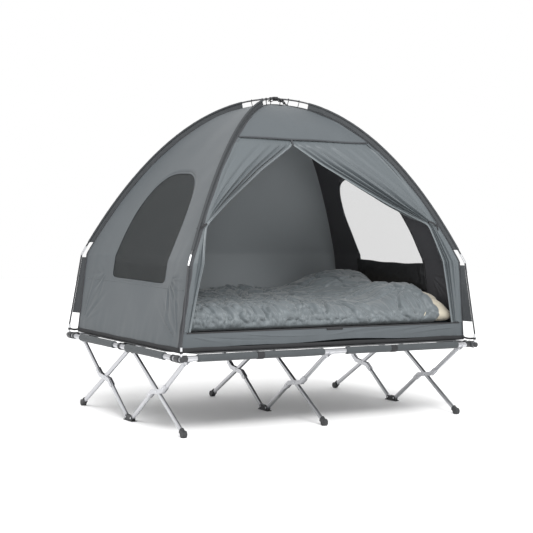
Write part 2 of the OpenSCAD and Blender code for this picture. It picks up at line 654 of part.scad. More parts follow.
// ---------- bedding ----------
module air_mattress() color("#4b5358") translate([0, 0, mattress_z])
    hollow_pad(mattress_l, mattress_w, 70, mattress_h, 2);
module sleeping_bag() color("#7c848a") translate([-12, 0, bag_z])
    hollow_pad(mattress_l - 22, mattress_w - 14, 60, bag_h, 2.5);
lining_l = 150;
lining_h = 26;
module bag_lining() color("#d8d2c4") translate([mattress_l - 40 - lining_l, 0, bag_top + soft_gap])
    hollow_pad(lining_l, mattress_w - 34, 50, lining_h, 2.5);
pillow_l = 130;
pillow_w = 225;
module pillow() color("#ded8ca") for (y = [-275, 275])
    translate([mattress_l - 50 - pillow_l, y, bag_top + lining_h + 2 * soft_gap])
    hollow_pad(pillow_l, pillow_w, 60, 84, 2);

centre_feet();
centre_foot_pins();
centre_rail();
centre_rail_coupler();
centre_brackets();
centre_bracket_pins();
end_bars();
end_bar_couplers();
end_bar_caps();
end_yokes();
end_sleeves();
deck();
tent_pins();
plain_legs_front();
outer_feet_front();
leg_uppers_front();
leg_lowers_front();
cross_brackets_front();
leg_pins_front();
rail_brackets_front();
side_rail_front();
rail_coupler_front();
rail_fittings_front();
rail_sleeves_front();
rail_straps_front();
plain_legs_back();
outer_feet_back();
leg_uppers_back();
leg_lowers_back();
cross_brackets_back();
leg_pins_back();
rail_brackets_back();
side_rail_back();
rail_coupler_back();
rail_fittings_back();
rail_sleeves_back();
rail_straps_back();
tent_floor();
canopy_front();
canopy_back();
canopy_left();
canopy_right();
crown_patch();
window_meshes();
window_rolls();
door_flap_left();
door_flap_right();
pole_sleeves();
pole_hub();
upper_poles();
pole_elbows();
lower_poles();
pole_tips();
corner_straps();
air_mattress();
sleeping_bag();
bag_lining();
pillow();
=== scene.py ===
"""Looks of the tent cot: cloth, bedding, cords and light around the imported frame. Metres, +Z up."""
import json
import math

import bmesh
import bpy
import numpy as np
from mathutils import Matrix, Vector, noise


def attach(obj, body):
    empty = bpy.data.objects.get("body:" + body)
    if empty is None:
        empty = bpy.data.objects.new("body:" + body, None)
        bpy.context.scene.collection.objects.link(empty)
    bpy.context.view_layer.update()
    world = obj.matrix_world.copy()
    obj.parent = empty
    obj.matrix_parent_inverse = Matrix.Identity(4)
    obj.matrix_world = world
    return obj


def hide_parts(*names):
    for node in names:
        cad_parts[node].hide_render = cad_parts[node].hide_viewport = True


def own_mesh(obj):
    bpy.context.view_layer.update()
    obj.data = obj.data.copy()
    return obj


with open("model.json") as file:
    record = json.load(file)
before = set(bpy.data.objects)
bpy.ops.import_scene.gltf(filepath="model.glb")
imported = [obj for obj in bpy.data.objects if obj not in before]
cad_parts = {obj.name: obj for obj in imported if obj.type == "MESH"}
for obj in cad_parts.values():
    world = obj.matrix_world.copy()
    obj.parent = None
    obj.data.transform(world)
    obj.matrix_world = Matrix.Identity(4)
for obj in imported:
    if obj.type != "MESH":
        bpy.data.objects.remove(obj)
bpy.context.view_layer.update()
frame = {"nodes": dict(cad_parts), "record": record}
nodes = frame["nodes"]

# ---------- materials ----------


def bumps(tree, place, layers):
    """Chains bump layers of (kind, scale, strength, distance) and gives the last one, or None."""
    last = None
    for kind, scale, strength, distance in layers:
        if kind == "noise":
            t = tree.nodes.new("ShaderNodeTexNoise")
            t.inputs["Detail"].default_value = 3
        elif kind == "ribs":
            t = tree.nodes.new("ShaderNodeTexWave")
            t.bands_direction = "Z"
        else:
            t = tree.nodes.new("ShaderNodeTexVoronoi")
        t.inputs["Scale"].default_value = scale
        tree.links.new(place.outputs["Object"], t.inputs["Vector"])
        b = tree.nodes.new("ShaderNodeBump")
        b.inputs["Strength"].default_value = strength
        b.inputs["Distance"].default_value = distance
        tree.links.new(t.outputs["Distance" if kind == "cells" else 0], b.inputs["Height"])
        if last:
            tree.links.new(last.outputs["Normal"], b.inputs["Normal"])
        last = b
    return last


def material(name, color, rough=0.7, metal=0.0, alpha=1.0, sheen=0.0, bump=(), mottle=None):
    """bump is a list of (kind, scale, strength, distance); mottle is (scale, darker share)."""
    m = bpy.data.materials.new(name)
    m.use_nodes = True
    tree, shader = m.node_tree, m.node_tree.nodes["Principled BSDF"]
    shader.inputs["Base Color"].default_value = (*color, 1)
    shader.inputs["Roughness"].default_value = rough
    shader.inputs["Metallic"].default_value = metal
    shader.inputs["Alpha"].default_value = alpha
    if sheen:
        shader.inputs["Sheen Weight"].default_value = sheen
        shader.inputs["Sheen Roughness"].default_value = 0.45
    place = tree.nodes.new("ShaderNodeTexCoord")
    last = bumps(tree, place, bump)
    if last:
        tree.links.new(last.outputs["Normal"], shader.inputs["Normal"])
    if mottle:
        t = tree.nodes.new("ShaderNodeTexNoise")
        t.inputs["Scale"].default_value = mottle[0]
        t.inputs["Detail"].default_value = 4
        ramp = tree.nodes.new("ShaderNodeValToRGB")
        ramp.color_ramp.elements[0].position = 0.3
        ramp.color_ramp.elements[0].color = (*[c * mottle[1] for c in color], 1)
        ramp.color_ramp.elements[1].position = 0.7
        ramp.color_ramp.elements[1].color = (*color, 1)
        tree.links.new(place.outputs["Object"], t.inputs["Vector"])
        tree.links.new(t.outputs[0], ramp.inputs["Fac"])
        tree.links.new(ramp.outputs["Color"], shader.inputs["Base Color"])
    return m


WEAVE = [("noise", 900, 0.10, 0.0006), ("noise", 60, 0.12, 0.002)]
PILE = [("noise", 350, 0.3, 0.001)]
LOOKS = {
    "silver_tube": dict(color=(0.5, 0.505, 0.525), rough=0.34, metal=1.0,
                        bump=[("noise", 500, 0.05, 0.0004)]),
    "inner_tube": dict(color=(0.5, 0.51, 0.53), rough=0.4, metal=1.0),
    "black_plastic": dict(color=(0.018, 0.019, 0.021), rough=0.42, bump=[("noise", 800, 0.12, 0.0004)]),
    "foot_rubber": dict(color=(0.02, 0.021, 0.023), rough=0.55, bump=[("noise", 500, 0.2, 0.0006)]),
    "black_plate": dict(color=(0.022, 0.023, 0.025), rough=0.4),
    "silver_plate": dict(color=(0.52, 0.525, 0.545), rough=0.36, metal=1.0,
                         bump=[("noise", 300, 0.08, 0.0005)]),
    "steel_pin": dict(color=(0.6, 0.61, 0.63), rough=0.28, metal=1.0),
    "rail_cloth": dict(color=(0.04, 0.046, 0.05), rough=0.78, sheen=0.15, bump=WEAVE, mottle=(18, 0.85)),
    "deck_cloth": dict(color=(0.024, 0.026, 0.029), rough=0.8, sheen=0.15, bump=WEAVE),
    "webbing": dict(color=(0.012, 0.012, 0.014), rough=0.75, bump=[("ribs", 260, 0.4, 0.0008)]),
    "tent_base": dict(color=(0.009, 0.0095, 0.011), bump=WEAVE),
    "canopy_cloth": dict(color=(0.06, 0.07, 0.077), rough=0.62, sheen=0.12, bump=WEAVE, mottle=(9, 0.95)),
    # The inside of the back and front walls is made much lighter than the outside: painted light, for the light
    # that comes in by the door
    "inner_face_painted_light": dict(color=(0.195, 0.212, 0.222), bump=WEAVE),
    # The inside of the end walls is darkened: painted shade, where their inner faces turn away from the light
    "inner_face_painted_shade": dict(color=(0.052, 0.052, 0.057), bump=WEAVE),
    "fin_cloth": dict(color=(0.026, 0.029, 0.032), rough=0.75, bump=[("cells", 300, 0.5, 0.001)]),
    "seam_tape": dict(color=(0.03, 0.033, 0.037), rough=0.75),
    "zip_tape": dict(color=(0.012, 0.012, 0.014), rough=0.6),
    "window_net": dict(color=(0.10, 0.105, 0.11), rough=0.8, alpha=0.16),
    # The left window's net is a darker, denser copy of the net: painted shade, the tent's dark inside seen through
    # it
    "window_net_painted_shade": dict(color=(0.018, 0.021, 0.022), rough=0.8, alpha=0.66,
                            bump=[("cells", 700, 0.4, 0.0006)]),
    "window_cover": dict(color=(0.014, 0.0145, 0.016), rough=0.62, bump=WEAVE, mottle=(7, 0.7)),
    "flap_cloth": dict(color=(0.07, 0.082, 0.089), rough=0.5, sheen=0.15, bump=WEAVE),
    "door_hem": dict(color=(0.105, 0.12, 0.128), rough=0.42, sheen=0.2, bump=WEAVE),
    "pole_black": dict(color=(0.02, 0.021, 0.024), rough=0.35),
    "elbow_silver": dict(color=(0.6, 0.605, 0.62), rough=0.3, metal=1.0),
    "mattress_skin": dict(color=(0.02, 0.025, 0.03), rough=0.8),
    "quilt_cloth": dict(color=(0.098, 0.114, 0.122), rough=0.55, sheen=0.25, mottle=(14, 0.85),
                        bump=WEAVE + [("noise", 34, 0.22, 0.004)]),
    "lining_cloth": dict(color=(0.4, 0.365, 0.29), rough=0.85, sheen=0.3, bump=PILE),
    "pillow_cloth": dict(color=(0.33, 0.3, 0.24), rough=0.85, sheen=0.3, bump=PILE),
}
MATS = {name: material(name, **look) for name, look in LOOKS.items()}
# Each imported part's material slot in the record; the part takes the look of that name
slot_of = {s["node"]: s["material_slot"] for s in frame["record"]["subparts"]}
for name, o in nodes.items():
    o.data.materials.clear()
    o.data.materials.append(MATS[slot_of[name]])

# ---------- helpers ----------


def lerp(a, b, k):
    return a + (b - a) * k


def smooth(x):
    x = np.clip(x, 0, 1)
    return x * x * (3 - 2 * x)


def hill(x, width):
    """A bell of height 1 around zero."""
    return np.exp(-(x / width) ** 2)


def unit(v):
    return v / np.linalg.norm(v, axis=-1, keepdims=True)


def soften(row, width):
    """A running mean of a row of numbers, with its ends held."""
    kernel = np.hanning(width)
    return np.convolve(np.pad(row, width // 2, mode="edge"), kernel / kernel.sum(), mode="valid")


def fields(points, scale, seed=0.0, octaves=1):
    """Noise from about -1 to 1 at each point. scale is one number or one for each axis, per metre."""
    q = np.asarray(points, float).reshape(-1, 3) * scale + seed
    if octaves == 1:
        out = [noise.noise(Vector(p)) for p in q]
    else:
        out = [noise.fractal(Vector(p), 1.0, 2.0, octaves) for p in q]
    return np.array(out).reshape(np.asarray(points).shape[:-1])


def mesh_object(name, co, faces, slot, body):
    """A smooth mesh with its faces turned outwards, which rides on a body."""
    me = bpy.data.meshes.new(name)
    me.from_pydata([tuple(p) for p in co], [], faces)
    me.validate()
    me.update()
    me.polygons.foreach_set("use_smooth", [True] * len(me.polygons))
    o = bpy.data.objects.new(name, me)
    bpy.context.scene.collection.objects.link(o)
    me.materials.append(MATS[slot])
    bm = bmesh.new()
    bm.from_mesh(me)
    bmesh.ops.recalc_face_normals(bm, faces=bm.faces)
    bm.to_mesh(me)
    bm.free()
    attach(o, body)
    return o


def grid_faces(n, m, wrap=False, start=0, flip=False):
    """Quads of an n by m grid; wrap joins the last column to the first."""
    out = []
    for i in range(n - 1):
        for j in range(m if wrap else m - 1):
            k = (j + 1) % m
            q = [start + i * m + j, start + i * m + k, start + (i + 1) * m + k, start + (i + 1) * m + j]
            out.append(q[::-1] if flip else q)
    return out


def end_caps(n, m):
    """The two end faces of a closed grid of n rings of m points."""
    return [list(range(m)), [(n - 1) * m + i for i in range(m)][::-1]]


def rim_faces(n, m, wrap, total):
    """Faces between the edges of two grids, the second one total points after the first."""
    out = []
    for i in range(n - 1):
        if not wrap:
            a, b = i * m, (i + 1) * m
            out.append([a, b, b + total, a + total])
            a, b = i * m + m - 1, (i + 1) * m + m - 1
            out.append([b, a, a + total, b + total])
    for j in range(m if wrap else m - 1):
        k = (j + 1) % m
        out.append([k, j, j + total, k + total])
        a, b = (n - 1) * m + j, (n - 1) * m + k
        out.append([a, b, b + total, a + total])
    return out


def grid_normals(P, wrap=False):
    if wrap:
        dv = np.roll(P, -1, 1) - np.roll(P, 1, 1)
    else:
        dv = np.gradient(P, axis=1)
    n = np.cross(dv, np.gradient(P, axis=0))
    return n / np.maximum(np.linalg.norm(n, axis=-1, keepdims=True), 1e-9)


def area_of(P, wrap=False):
    a, b = P[:-1], P[1:]
    if wrap:
        a2, b2 = np.roll(a, -1, 1), np.roll(b, -1, 1)
    else:
        a, a2, b, b2 = a[:, :-1], a[:, 1:], b[:, :-1], b[:, 1:]
    t = np.linalg.norm(np.cross(a2 - a, b2 - a), axis=-1) + np.linalg.norm(np.cross(b2 - a, b - a), axis=-1)
    return float(t.sum() / 2)


def cloth(name, P, slot, outward, thick=0.0012, wrap=False, inside=None,
          body="tent"):
    """A sheet of cloth from a grid of points, which is its outer face; its inner face lies thick behind."""
    n, m = P.shape[:2]
    N = grid_normals(P, wrap)
    if float((N * outward).sum()) < 0:
        N = -N
    back = P - N * thick
    total = n * m
    front = grid_faces(n, m, wrap)
    faces = front + grid_faces(n, m, wrap, total, True) + rim_faces(n, m, wrap, total)
    o = mesh_object(name, np.concatenate([P.reshape(-1, 3), back.reshape(-1, 3)]), faces, slot, body)
    if inside:
        o.data.materials.append(MATS[inside])
        index = [0] * len(o.data.polygons)
        index[len(front):2 * len(front)] = [1] * len(front)
        o.data.polygons.foreach_set("material_index", index)
    area = area_of(P, wrap)
    if wrap:
        # a ring with a hole has no width and length of its own: a square that the ring fills to 0.7
        flat = (math.sqrt(area / 0.7), math.sqrt(area / 0.7))
    else:
        flat = (np.linalg.norm(np.diff(P, axis=1), axis=-1).sum(1).max(),
                np.linalg.norm(np.diff(P, axis=0), axis=-1).sum(0).max())
    flat = tuple(float(x) for x in flat)
    return o


def tube(name, points, r, slot, sides):
    """A round cord or sleeve of radius r along a line."""
    p = np.asarray(points, float)
    t = unit(np.gradient(p, axis=0))
    a = np.cross(t, (0, 0, 1))
    upright = np.linalg.norm(a, axis=1) < 1e-3
    a[upright] = np.cross(t[upright], (1, 0.3, 0))
    a = unit(a)
    b = np.cross(a, t)
    r = np.broadcast_to(np.asarray(r, float), (len(p),))
    ang = np.arange(sides) * 2 * math.pi / sides
    ring = np.cos(ang)[None, :, None] * a[:, None] + np.sin(ang)[None, :, None] * b[:, None]
    co = (p[:, None] + ring * r[:, None, None]).reshape(-1, 3)
    faces = grid_faces(len(p), sides, True) + end_caps(len(p), sides)
    return mesh_object(name, co, faces, slot, "tent")


def ribbon(name, points, normals, width, thick, slot, body="tent", lift=0.0, closed=False):
    """A flat tape along a line: width across it, thick along the normals."""
    p = np.asarray(points, float)
    nr = unit(np.asarray(normals, float))
    t = unit((np.roll(p, -1, 0) - np.roll(p, 1, 0)) if closed else np.gradient(p, axis=0))
    side = unit(np.cross(nr, t))
    base = p + nr * lift
    w = np.broadcast_to(np.asarray(width, float), (len(p),))[:, None]
    section = [(-0.5, 0), (-0.42, 0.8), (0, 1), (0.42, 0.8), (0.5, 0)]
    rings = np.stack([base + side * w * s + nr * thick * h for s, h in section], 1)
    n, m = rings.shape[:2]
    faces = grid_faces(n, m, True)
    if closed:
        for j in range(m):
            k = (j + 1) % m
            faces.append([(n - 1) * m + j, (n - 1) * m + k, k, j])
    else:
        faces += end_caps(n, m)
    return mesh_object(name, rings.reshape(-1, 3), faces, slot, body)


def flipped(P, mirror):
    """The points mirrored to the other end of the cot, if mirror is true."""
    return P * np.array([-1, 1, 1]) if mirror else P


# ---------- the frame that the cloth follows ----------
# Axes of the end bars and the side rails, and the tent's pins at the tips of the end bars
END_BAR_X, RAIL_Y, TUBE_Z, PIN_Y = 0.949, 0.640, 0.404, 0.668
CORNERS = ((1, 1), (1, -1), (-1, 1), (-1, -1))
# Tent: half the length and half the width at its foot, and the foot's height
BASE_L, BASE_W, BASE_Z = 0.925, 0.602, 0.4455
# Corner seams: distance from the middle at the elbows, elbow height, crown height, distance at the crown
ELBOW_S, ELBOW_Z, APEX_Z, CROWN_S = 1.065, 0.873, 1.742, 0.03
# Share of a seam that is below its elbow, gap beside a seam, a wall's sag, roundness of an arch
KNEE, GAP, SAG, ROUND = 0.34, 0.0025, 0.042, 0.087
PIN_S = math.hypot(END_BAR_X, PIN_Y)
DIR = np.array([END_BAR_X, PIN_Y]) / PIN_S
# Poles: radius, distance and height of the elbows, height at the hub, top of the tip sockets
POLE_R, POLE_ELBOW_S, POLE_ELBOW_Z, POLE_APEX_Z, TIP_TOP = 0.0045, 1.095, 0.870, 1.775, 0.4648
SILL_Z, HEADER_Z, DOOR_STRIP = 0.5265, 1.530, 0.030
# End window: bottom, top, half width, lean and taper of its outline, and the powers that round it
WINDOW_Z0, WINDOW_Z1, WINDOW_W, LEAN, TAPER = 0.752, 1.340, 0.302, 0.05, 0.22
WINDOW_MID = lerp(WINDOW_Z0, WINDOW_Z1, 0.38)
ROUND_TOP, ROUND_FOOT = 2.8, 14.0


def arch(u):
    """How far an arch has dropped at the share u of the way out from the apex."""
    return (1 - ROUND) * u * u + ROUND * u ** 4


def arch_at(d):
    """The share of the way out at which an arch has dropped by the share d."""
    return np.sqrt((np.sqrt((1 - ROUND) ** 2 + 4 * ROUND * d) - (1 - ROUND)) / (2 * ROUND))


def seam(h):
    """Corner seam at the share h of the way up, as (half length, half width, height)."""
    h = np.asarray(h, float)
    k = np.clip(h / KNEE, 0, 1)
    u = lerp(1, CROWN_S / ELBOW_S, np.clip((h - KNEE) / (1 - KNEE), 0, 1))
    s = u * ELBOW_S
    low = h < KNEE
    x = np.where(low, lerp(BASE_L - 0.001, DIR[0] * ELBOW_S, k), DIR[0] * s)
    y = np.where(low, lerp(BASE_W - 0.001, DIR[1] * ELBOW_S, k), DIR[1] * s)
    z = np.where(low, lerp(BASE_Z, ELBOW_Z, k), APEX_Z - (APEX_Z - ELBOW_Z) * arch(u))
    return x, y, z


def seam_at(z):
    """The share of the way up at which the seam reaches the height z."""
    z = np.asarray(z, float)
    u = arch_at(np.clip((APEX_Z - z) / (APEX_Z - ELBOW_Z), 0, 1))
    return np.where(z < ELBOW_Z, KNEE * (z - BASE_Z) / (ELBOW_Z - BASE_Z),
                    KNEE + (1 - KNEE) * (1 - u) / (1 - CROWN_S / ELBOW_S))


def wall(v, h, side):
    """A point of the front wall (side) or of the +X end wall, v from -1 to 1 across and h up."""
    x, y, z = seam(h)
    sag = SAG * np.sin(math.pi * np.clip((z - BASE_Z) / (APEX_Z - BASE_Z), 0, 1))
    if side:
        return np.stack([v * (x - GAP), -(y - sag * (1 - v * v)), z], -1)
    return np.stack([x - sag * (1 - v * v), v * (y - GAP), z], -1)


def wall_normal(v, h, side):
    step = 0.002
    a = wall(v + step, h, side) - wall(v - step, h, side)
    b = wall(v, np.minimum(h + step, 1), side) - wall(v, np.maximum(h - step, 0), side)
    return unit(np.cross(a, b))


def wall_vh(a, z, side):
    """A wall's own (v, h) at the distance a across and the height z."""
    h = seam_at(z)
    return a / (seam(h)[0 if side else 1] - GAP), h


def on_wall(a, z, side, depth=0.0):
    """A point off a wall's smooth shape at the distance a across and the height z, and the normal there."""
    v, h = wall_vh(a, z, side)
    n = wall_normal(v, h, side)
    return wall(v, h, side) + depth * n, n


def creases(a, z, marks):
    """Height of the cloth's creases: each mark is from, to, width, height; lines fade out at both ends."""
    out = np.zeros_like(a)
    for (a0, z0), (a1, z1), width, height in marks:
        d = np.array([a1 - a0, z1 - z0])
        length = np.linalg.norm(d)
        d = d / length
        t = ((a - a0) * d[0] + (z - z0) * d[1]) / length
        off = (-(a - a0) * d[1] + (z - z0) * d[0]) + 0.018 * length * np.sin(math.pi * np.clip(t, 0, 1))
        spread = width * (0.35 + 0.9 * np.clip(t, 0, 1))
        out += height * hill(off, spread) * smooth(t / 0.18) * smooth((1 - t) / 0.55)
    return out


def fans(centre, aim, spread, length, count, seed, width=0.009, amp=0.0035):
    """Marks that run out from a point, such as a strained corner."""
    draws = np.random.default_rng(seed)
    out = []
    for k in range(count):
        g = math.radians(aim + spread * ((k + 0.5) / count - 0.5) + draws.uniform(-4, 4))
        reach = length * draws.uniform(0.6, 1.1)
        start = draws.uniform(0.01, 0.04)
        out.append(((centre[0] + start * math.cos(g), centre[1] + start * math.sin(g)),
                    (centre[0] + reach * math.cos(g), centre[1] + reach * math.sin(g)),
                    width * draws.uniform(0.7, 1.4), amp * draws.uniform(0.5, 1.1) * (1 if k % 2 else -1)))
    return out


def relief(v, h, side, seed, marks=()):
    """How far a wall's cloth stands off its smooth shape; nothing at its edges."""
    P = wall(v, h, side)
    a, z = (P[..., 0] if side else P[..., 1]), P[..., 2]
    edge = smooth((1 - np.abs(v)) / 0.07) * smooth((1 - h) / 0.1) * smooth((h + 0.012) / 0.06)
    broad = fields(P, 2.6, seed) * 0.010 + fields(P, 6.5, seed + 9) * 0.0035
    foot = fields(P, (26, 26, 2.5), seed + 3) * 0.0042 * np.exp(-np.clip(z - BASE_Z, 0, 9) / 0.07)
    brow = fields(P, (20, 20, 3.0), seed + 5) * 0.0024 * np.exp(-np.abs(z - ELBOW_Z) / 0.10) * np.abs(v) ** 2
    return (broad + creases(a, z, marks)) * edge + (foot + brow) * smooth((1 - np.abs(v)) / 0.04)


def draped(v, h, side, seed, marks, lift=0.0):
    """Points of a wall's cloth at its own (v, h), lifted off the relief, and the normals there."""
    n = wall_normal(v, h, side)
    return wall(v, h, side) + (relief(v, h, side, seed, marks) + lift)[..., None] * n, n


def on_cloth(a, z, side, seed, marks, lift=0.0):
    """As draped, at the distance a across and the height z."""
    return draped(*wall_vh(a, z, side), side, seed, marks, lift)


def edge_points(n_low, n_side, n_top):
    """Points around a wall's edge as (v, h), anticlockwise from its bottom left."""
    low = [[2 * i / n_low - 1, 0] for i in range(n_low)]
    right = [[1, i / n_side] for i in range(n_side)]
    top = [[1 - 2 * i / n_top, 1] for i in range(n_top)]
    left = [[-1, 1 - i / n_side] for i in range(n_side)]
    return np.array(low + right + top + left, float)


def ring_grid(inner, outer, shares):
    """Rings of (v, h) from an opening's edge out to the wall's edge."""
    shares = shares[:, None, None]
    grid = inner[None] * (1 - shares) + outer[None] * shares
    return grid[..., 0], grid[..., 1]


# ---------- end walls and their windows ----------


def window_yz(a):
    """Outline of an end window in the direction a."""
    c, s = np.cos(a), np.sin(a)
    n = np.where(s > 0, ROUND_TOP, ROUND_FOOT)
    r = (np.abs(c) ** n + np.abs(s) ** n) ** (-1 / n)
    z = WINDOW_MID + np.where(s > 0, WINDOW_Z1 - WINDOW_MID, WINDOW_MID - WINDOW_Z0) * s * r
    return WINDOW_W * c * r * (1 - TAPER * (z - WINDOW_MID)) + LEAN * (z - WINDOW_MID), z


def window_half(z, hem_width=0.008):
    """Half the width of a window's net at the height z."""
    up = z > WINDOW_MID
    n = np.where(up, ROUND_TOP, ROUND_FOOT)
    t = np.abs(z - WINDOW_MID) / (np.where(up, WINDOW_Z1 - WINDOW_MID, WINDOW_MID - WINDOW_Z0) + hem_width)
    return (WINDOW_W + hem_width) * (1 - t ** n) ** (1 / n) * (1 - TAPER * (z - WINDOW_MID))


END_MARKS = (
    fans((0.37, 0.78), -35, 100, 0.22, 6, 3) + fans((-0.37, 0.78), 215, 100, 0.2, 6, 4)
    + fans((0.55, 0.47), 125, 60, 0.35, 6, 5) + fans((-0.55, 0.47), 55, 60, 0.35, 6, 6),
    fans((0.37, 0.78), -30, 110, 0.2, 6, 13) + fans((-0.37, 0.78), 215, 110, 0.24, 8, 14, amp=0.0045)
    + fans((0.56, 0.47), 125, 60, 0.35, 6, 15) + fans((-0.56, 0.47), 55, 60, 0.4, 7, 16)
    + fans((-0.60, 0.87), 190, 60, 0.2, 4, 17),
)


def end_facts(left):
    """An end wall's noise seed, its creases and the way it faces; left is 0 or 1."""
    return 4.0 + 20 * left, END_MARKS[left], np.array([1.0, 0, 0.2]) * (-1 if left else 1)


def end_wall(name, left):
    """The wall around its window, the hem of the window and the seam across the wall under it."""
    seed, marks, out = end_facts(left)
    edge = edge_points(70, 90, 16)
    directions = np.arctan2((edge[:, 1] - seam_at(WINDOW_MID)) * 1.6, edge[:, 0])
    inner = np.stack(wall_vh(*window_yz(directions), False), -1)
    v, h = ring_grid(inner, edge, (np.arange(45) / 44) ** 0.9)
    P = draped(v, h, False, seed, marks)[0]
    # its inner face gets the darkened look: painted shade inside the tent
    o = cloth("canopy_%s_cloth" % name, flipped(P, left), "canopy_cloth", out,
              wrap=True, inside="inner_face_painted_shade")
    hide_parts("canopy_" + name)
    ang = np.linspace(0, 2 * math.pi, 240, endpoint=False)
    pts, nrm = on_cloth(*window_yz(ang), False, seed, marks)
    ribbon("window_hem_" + name, flipped(pts, left), flipped(nrm, left), 0.009, 0.0008, "canopy_cloth",
           closed=True)
    y = np.linspace(-0.565, 0.565, 90)
    pts, nrm = on_cloth(y, np.full_like(y, 0.7365), False, seed, marks, -0.0003)
    ribbon("wall_seam_" + name, flipped(pts, left), flipped(nrm, left), 0.006, 0.0012, "canopy_cloth")


def window_net(name, left):
    seed, marks, out = end_facts(left)
    up, across = np.meshgrid(np.linspace(0, 1, 70), np.linspace(-1, 1, 50), indexing="ij")
    z = lerp(WINDOW_Z0 - 0.006, WINDOW_Z1 + 0.006, up)
    v, h = wall_vh(across * window_half(z) + LEAN * (z - WINDOW_MID), z, False)
    slack = 0.0012 * (1 + fields(wall(v, h, False), 5, 40 + left)) * (1 - across ** 4)
    P = draped(v, h, False, seed, marks, -0.0026 - slack)[0]
    # the left net takes the darker, denser look: painted shade of the tent's inside behind it
    net = cloth("window_net_" + name, flipped(P, left), "window_net_painted_shade" if left else "window_net", out,
                thick=0.0005)
    if not left:
        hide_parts("window_meshes")


def window_cover(name, left):
    """The window's cover, folded down into a pocket along the window's foot, inside the wall."""
    seed, marks, out = end_facts(left)
    across, up = np.meshgrid(np.linspace(-1, 1, 150), np.linspace(0, 1, 40))
    z = lerp(0.690, 0.852, up) - (0.008 * (1 - across ** 2) + 0.0015 * np.sin(across * 9 + left)) * up
    y = across * (WINDOW_W + 0.030)
    bulge = 0.011 * np.sin(math.pi * up) ** 0.6 * (1 - np.abs(across) ** 8)
    q = np.stack([y * 1.3, z * 2.2 + 0.4 * y, z * 0], -1)
    crumple = (1 - 2.4 * np.abs(fields(q, 7, 50 + left))) * 0.004 + fields(q, 19, 55 + left) * 0.0015
    pleat = 0.004 * hill(np.abs(across) - 0.90, 0.02) - 0.003 * hill(np.abs(across) - 0.82, 0.03)
    depth = 0.008 + bulge + (crumple + pleat) * np.sin(math.pi * up) ** 0.5
    P = on_cloth(y, z, False, seed, marks, -depth)[0]
    cover = cloth("window_cover_" + name, flipped(P, left), "window_cover", -out,
                  thick=0.002)
    if not left:
        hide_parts("window_rolls")


for name, left in (("left", 1), ("right", 0)):
    end_wall(name, left)
    window_net(name, left)
    window_cover(name, left)

# ---------- back wall, front wall, seams and floor ----------
FRONT_SEED, BACK_SEED = 130.0, 77.0
# The creases of the sill, and a fan of them over the door
SILL_MARKS = [((-0.80, 0.505), (-0.2, 0.470), 0.006, -0.003), ((-0.6, 0.515), (0.0, 0.49), 0.005, 0.003),
              ((0.85, 0.520), (0.35, 0.470), 0.007, -0.004), ((0.88, 0.50), (0.45, 0.462), 0.006, 0.0035),
              ((0.6, 0.515), (0.1, 0.482), 0.006, -0.003), ((-0.88, 0.515), (-0.6, 0.462), 0.006, 0.003),
              ((0.30, 0.52), (-0.1, 0.468), 0.007, 0.003)]
FRONT_MARKS = SILL_MARKS + fans((0, 1.53), 90, 130, 0.2, 6, 33, amp=0.002)
BACK_MARKS = (fans((0.86, 0.47), 130, 70, 0.5, 7, 23) + fans((-0.86, 0.47), 50, 70, 0.5, 7, 24)
              + fans((0, 1.70), 270, 110, 0.5, 7, 25, amp=0.003))


def on_front(x, z, lift=0.0):
    return on_cloth(x, z, True, FRONT_SEED, FRONT_MARKS, lift)


def back_wall():
    v, h = np.meshgrid(np.linspace(-1, 1, 150), np.linspace(0, 1, 120))
    P = draped(v, h, True, BACK_SEED, BACK_MARKS)[0] * np.array([1, -1, 1])
    # its inner face gets the lightened look: painted light from the door
    o = cloth("canopy_back_cloth", P, "canopy_cloth", np.array([0, 1.0, 0.2]),
              inside="inner_face_painted_light")
    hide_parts("canopy_back")


def front_wall():
    """The front wall around the door's opening, with the zip along the sill and piping along the header."""
    edge = edge_points(150, 110, 40)
    h = lerp(seam_at(SILL_Z), seam_at(HEADER_Z), edge[:, 1])
    door = np.stack([edge[:, 0] * (1 - DOOR_STRIP / seam(h)[0]), h], -1)
    v, h = ring_grid(door, edge, np.arange(31) / 30)
    P = draped(v, h, True, FRONT_SEED, FRONT_MARKS)[0]
    x, z = P[..., 0], P[..., 2]
    # the sill's foot rides up a little along its length, above the black rim
    up = 0.007 + 0.007 * np.sin(x * 3.1 + 1.2) + 0.004 * np.sin(x * 9.0 + 0.4)
    up = up * smooth((0.93 - np.abs(x)) / 0.15)
    P[..., 2] += np.clip(up, 0, None) * np.clip(1 - (z - BASE_Z) / 0.05, 0, 1)
    # its inner face gets the lightened look: painted light from the door
    o = cloth("canopy_front_cloth", P, "canopy_cloth", np.array([0, -1.0, 0.2]),
              wrap=True, inside="inner_face_painted_light")
    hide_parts("canopy_front")
    x = np.linspace(-0.885, 0.885, 120)
    ribbon("door_zip", *on_front(x, np.full_like(x, SILL_Z - 0.001)), 0.007, 0.0018, "zip_tape", lift=0.0004)
    x = np.linspace(-0.425, 0.425, 90)
    z = HEADER_Z + 0.002 + 0.0012 * np.sin(x * 15)
    ribbon("header_seam", *on_front(x, z, 0.0004), 0.009, 0.0030, "seam_tape")


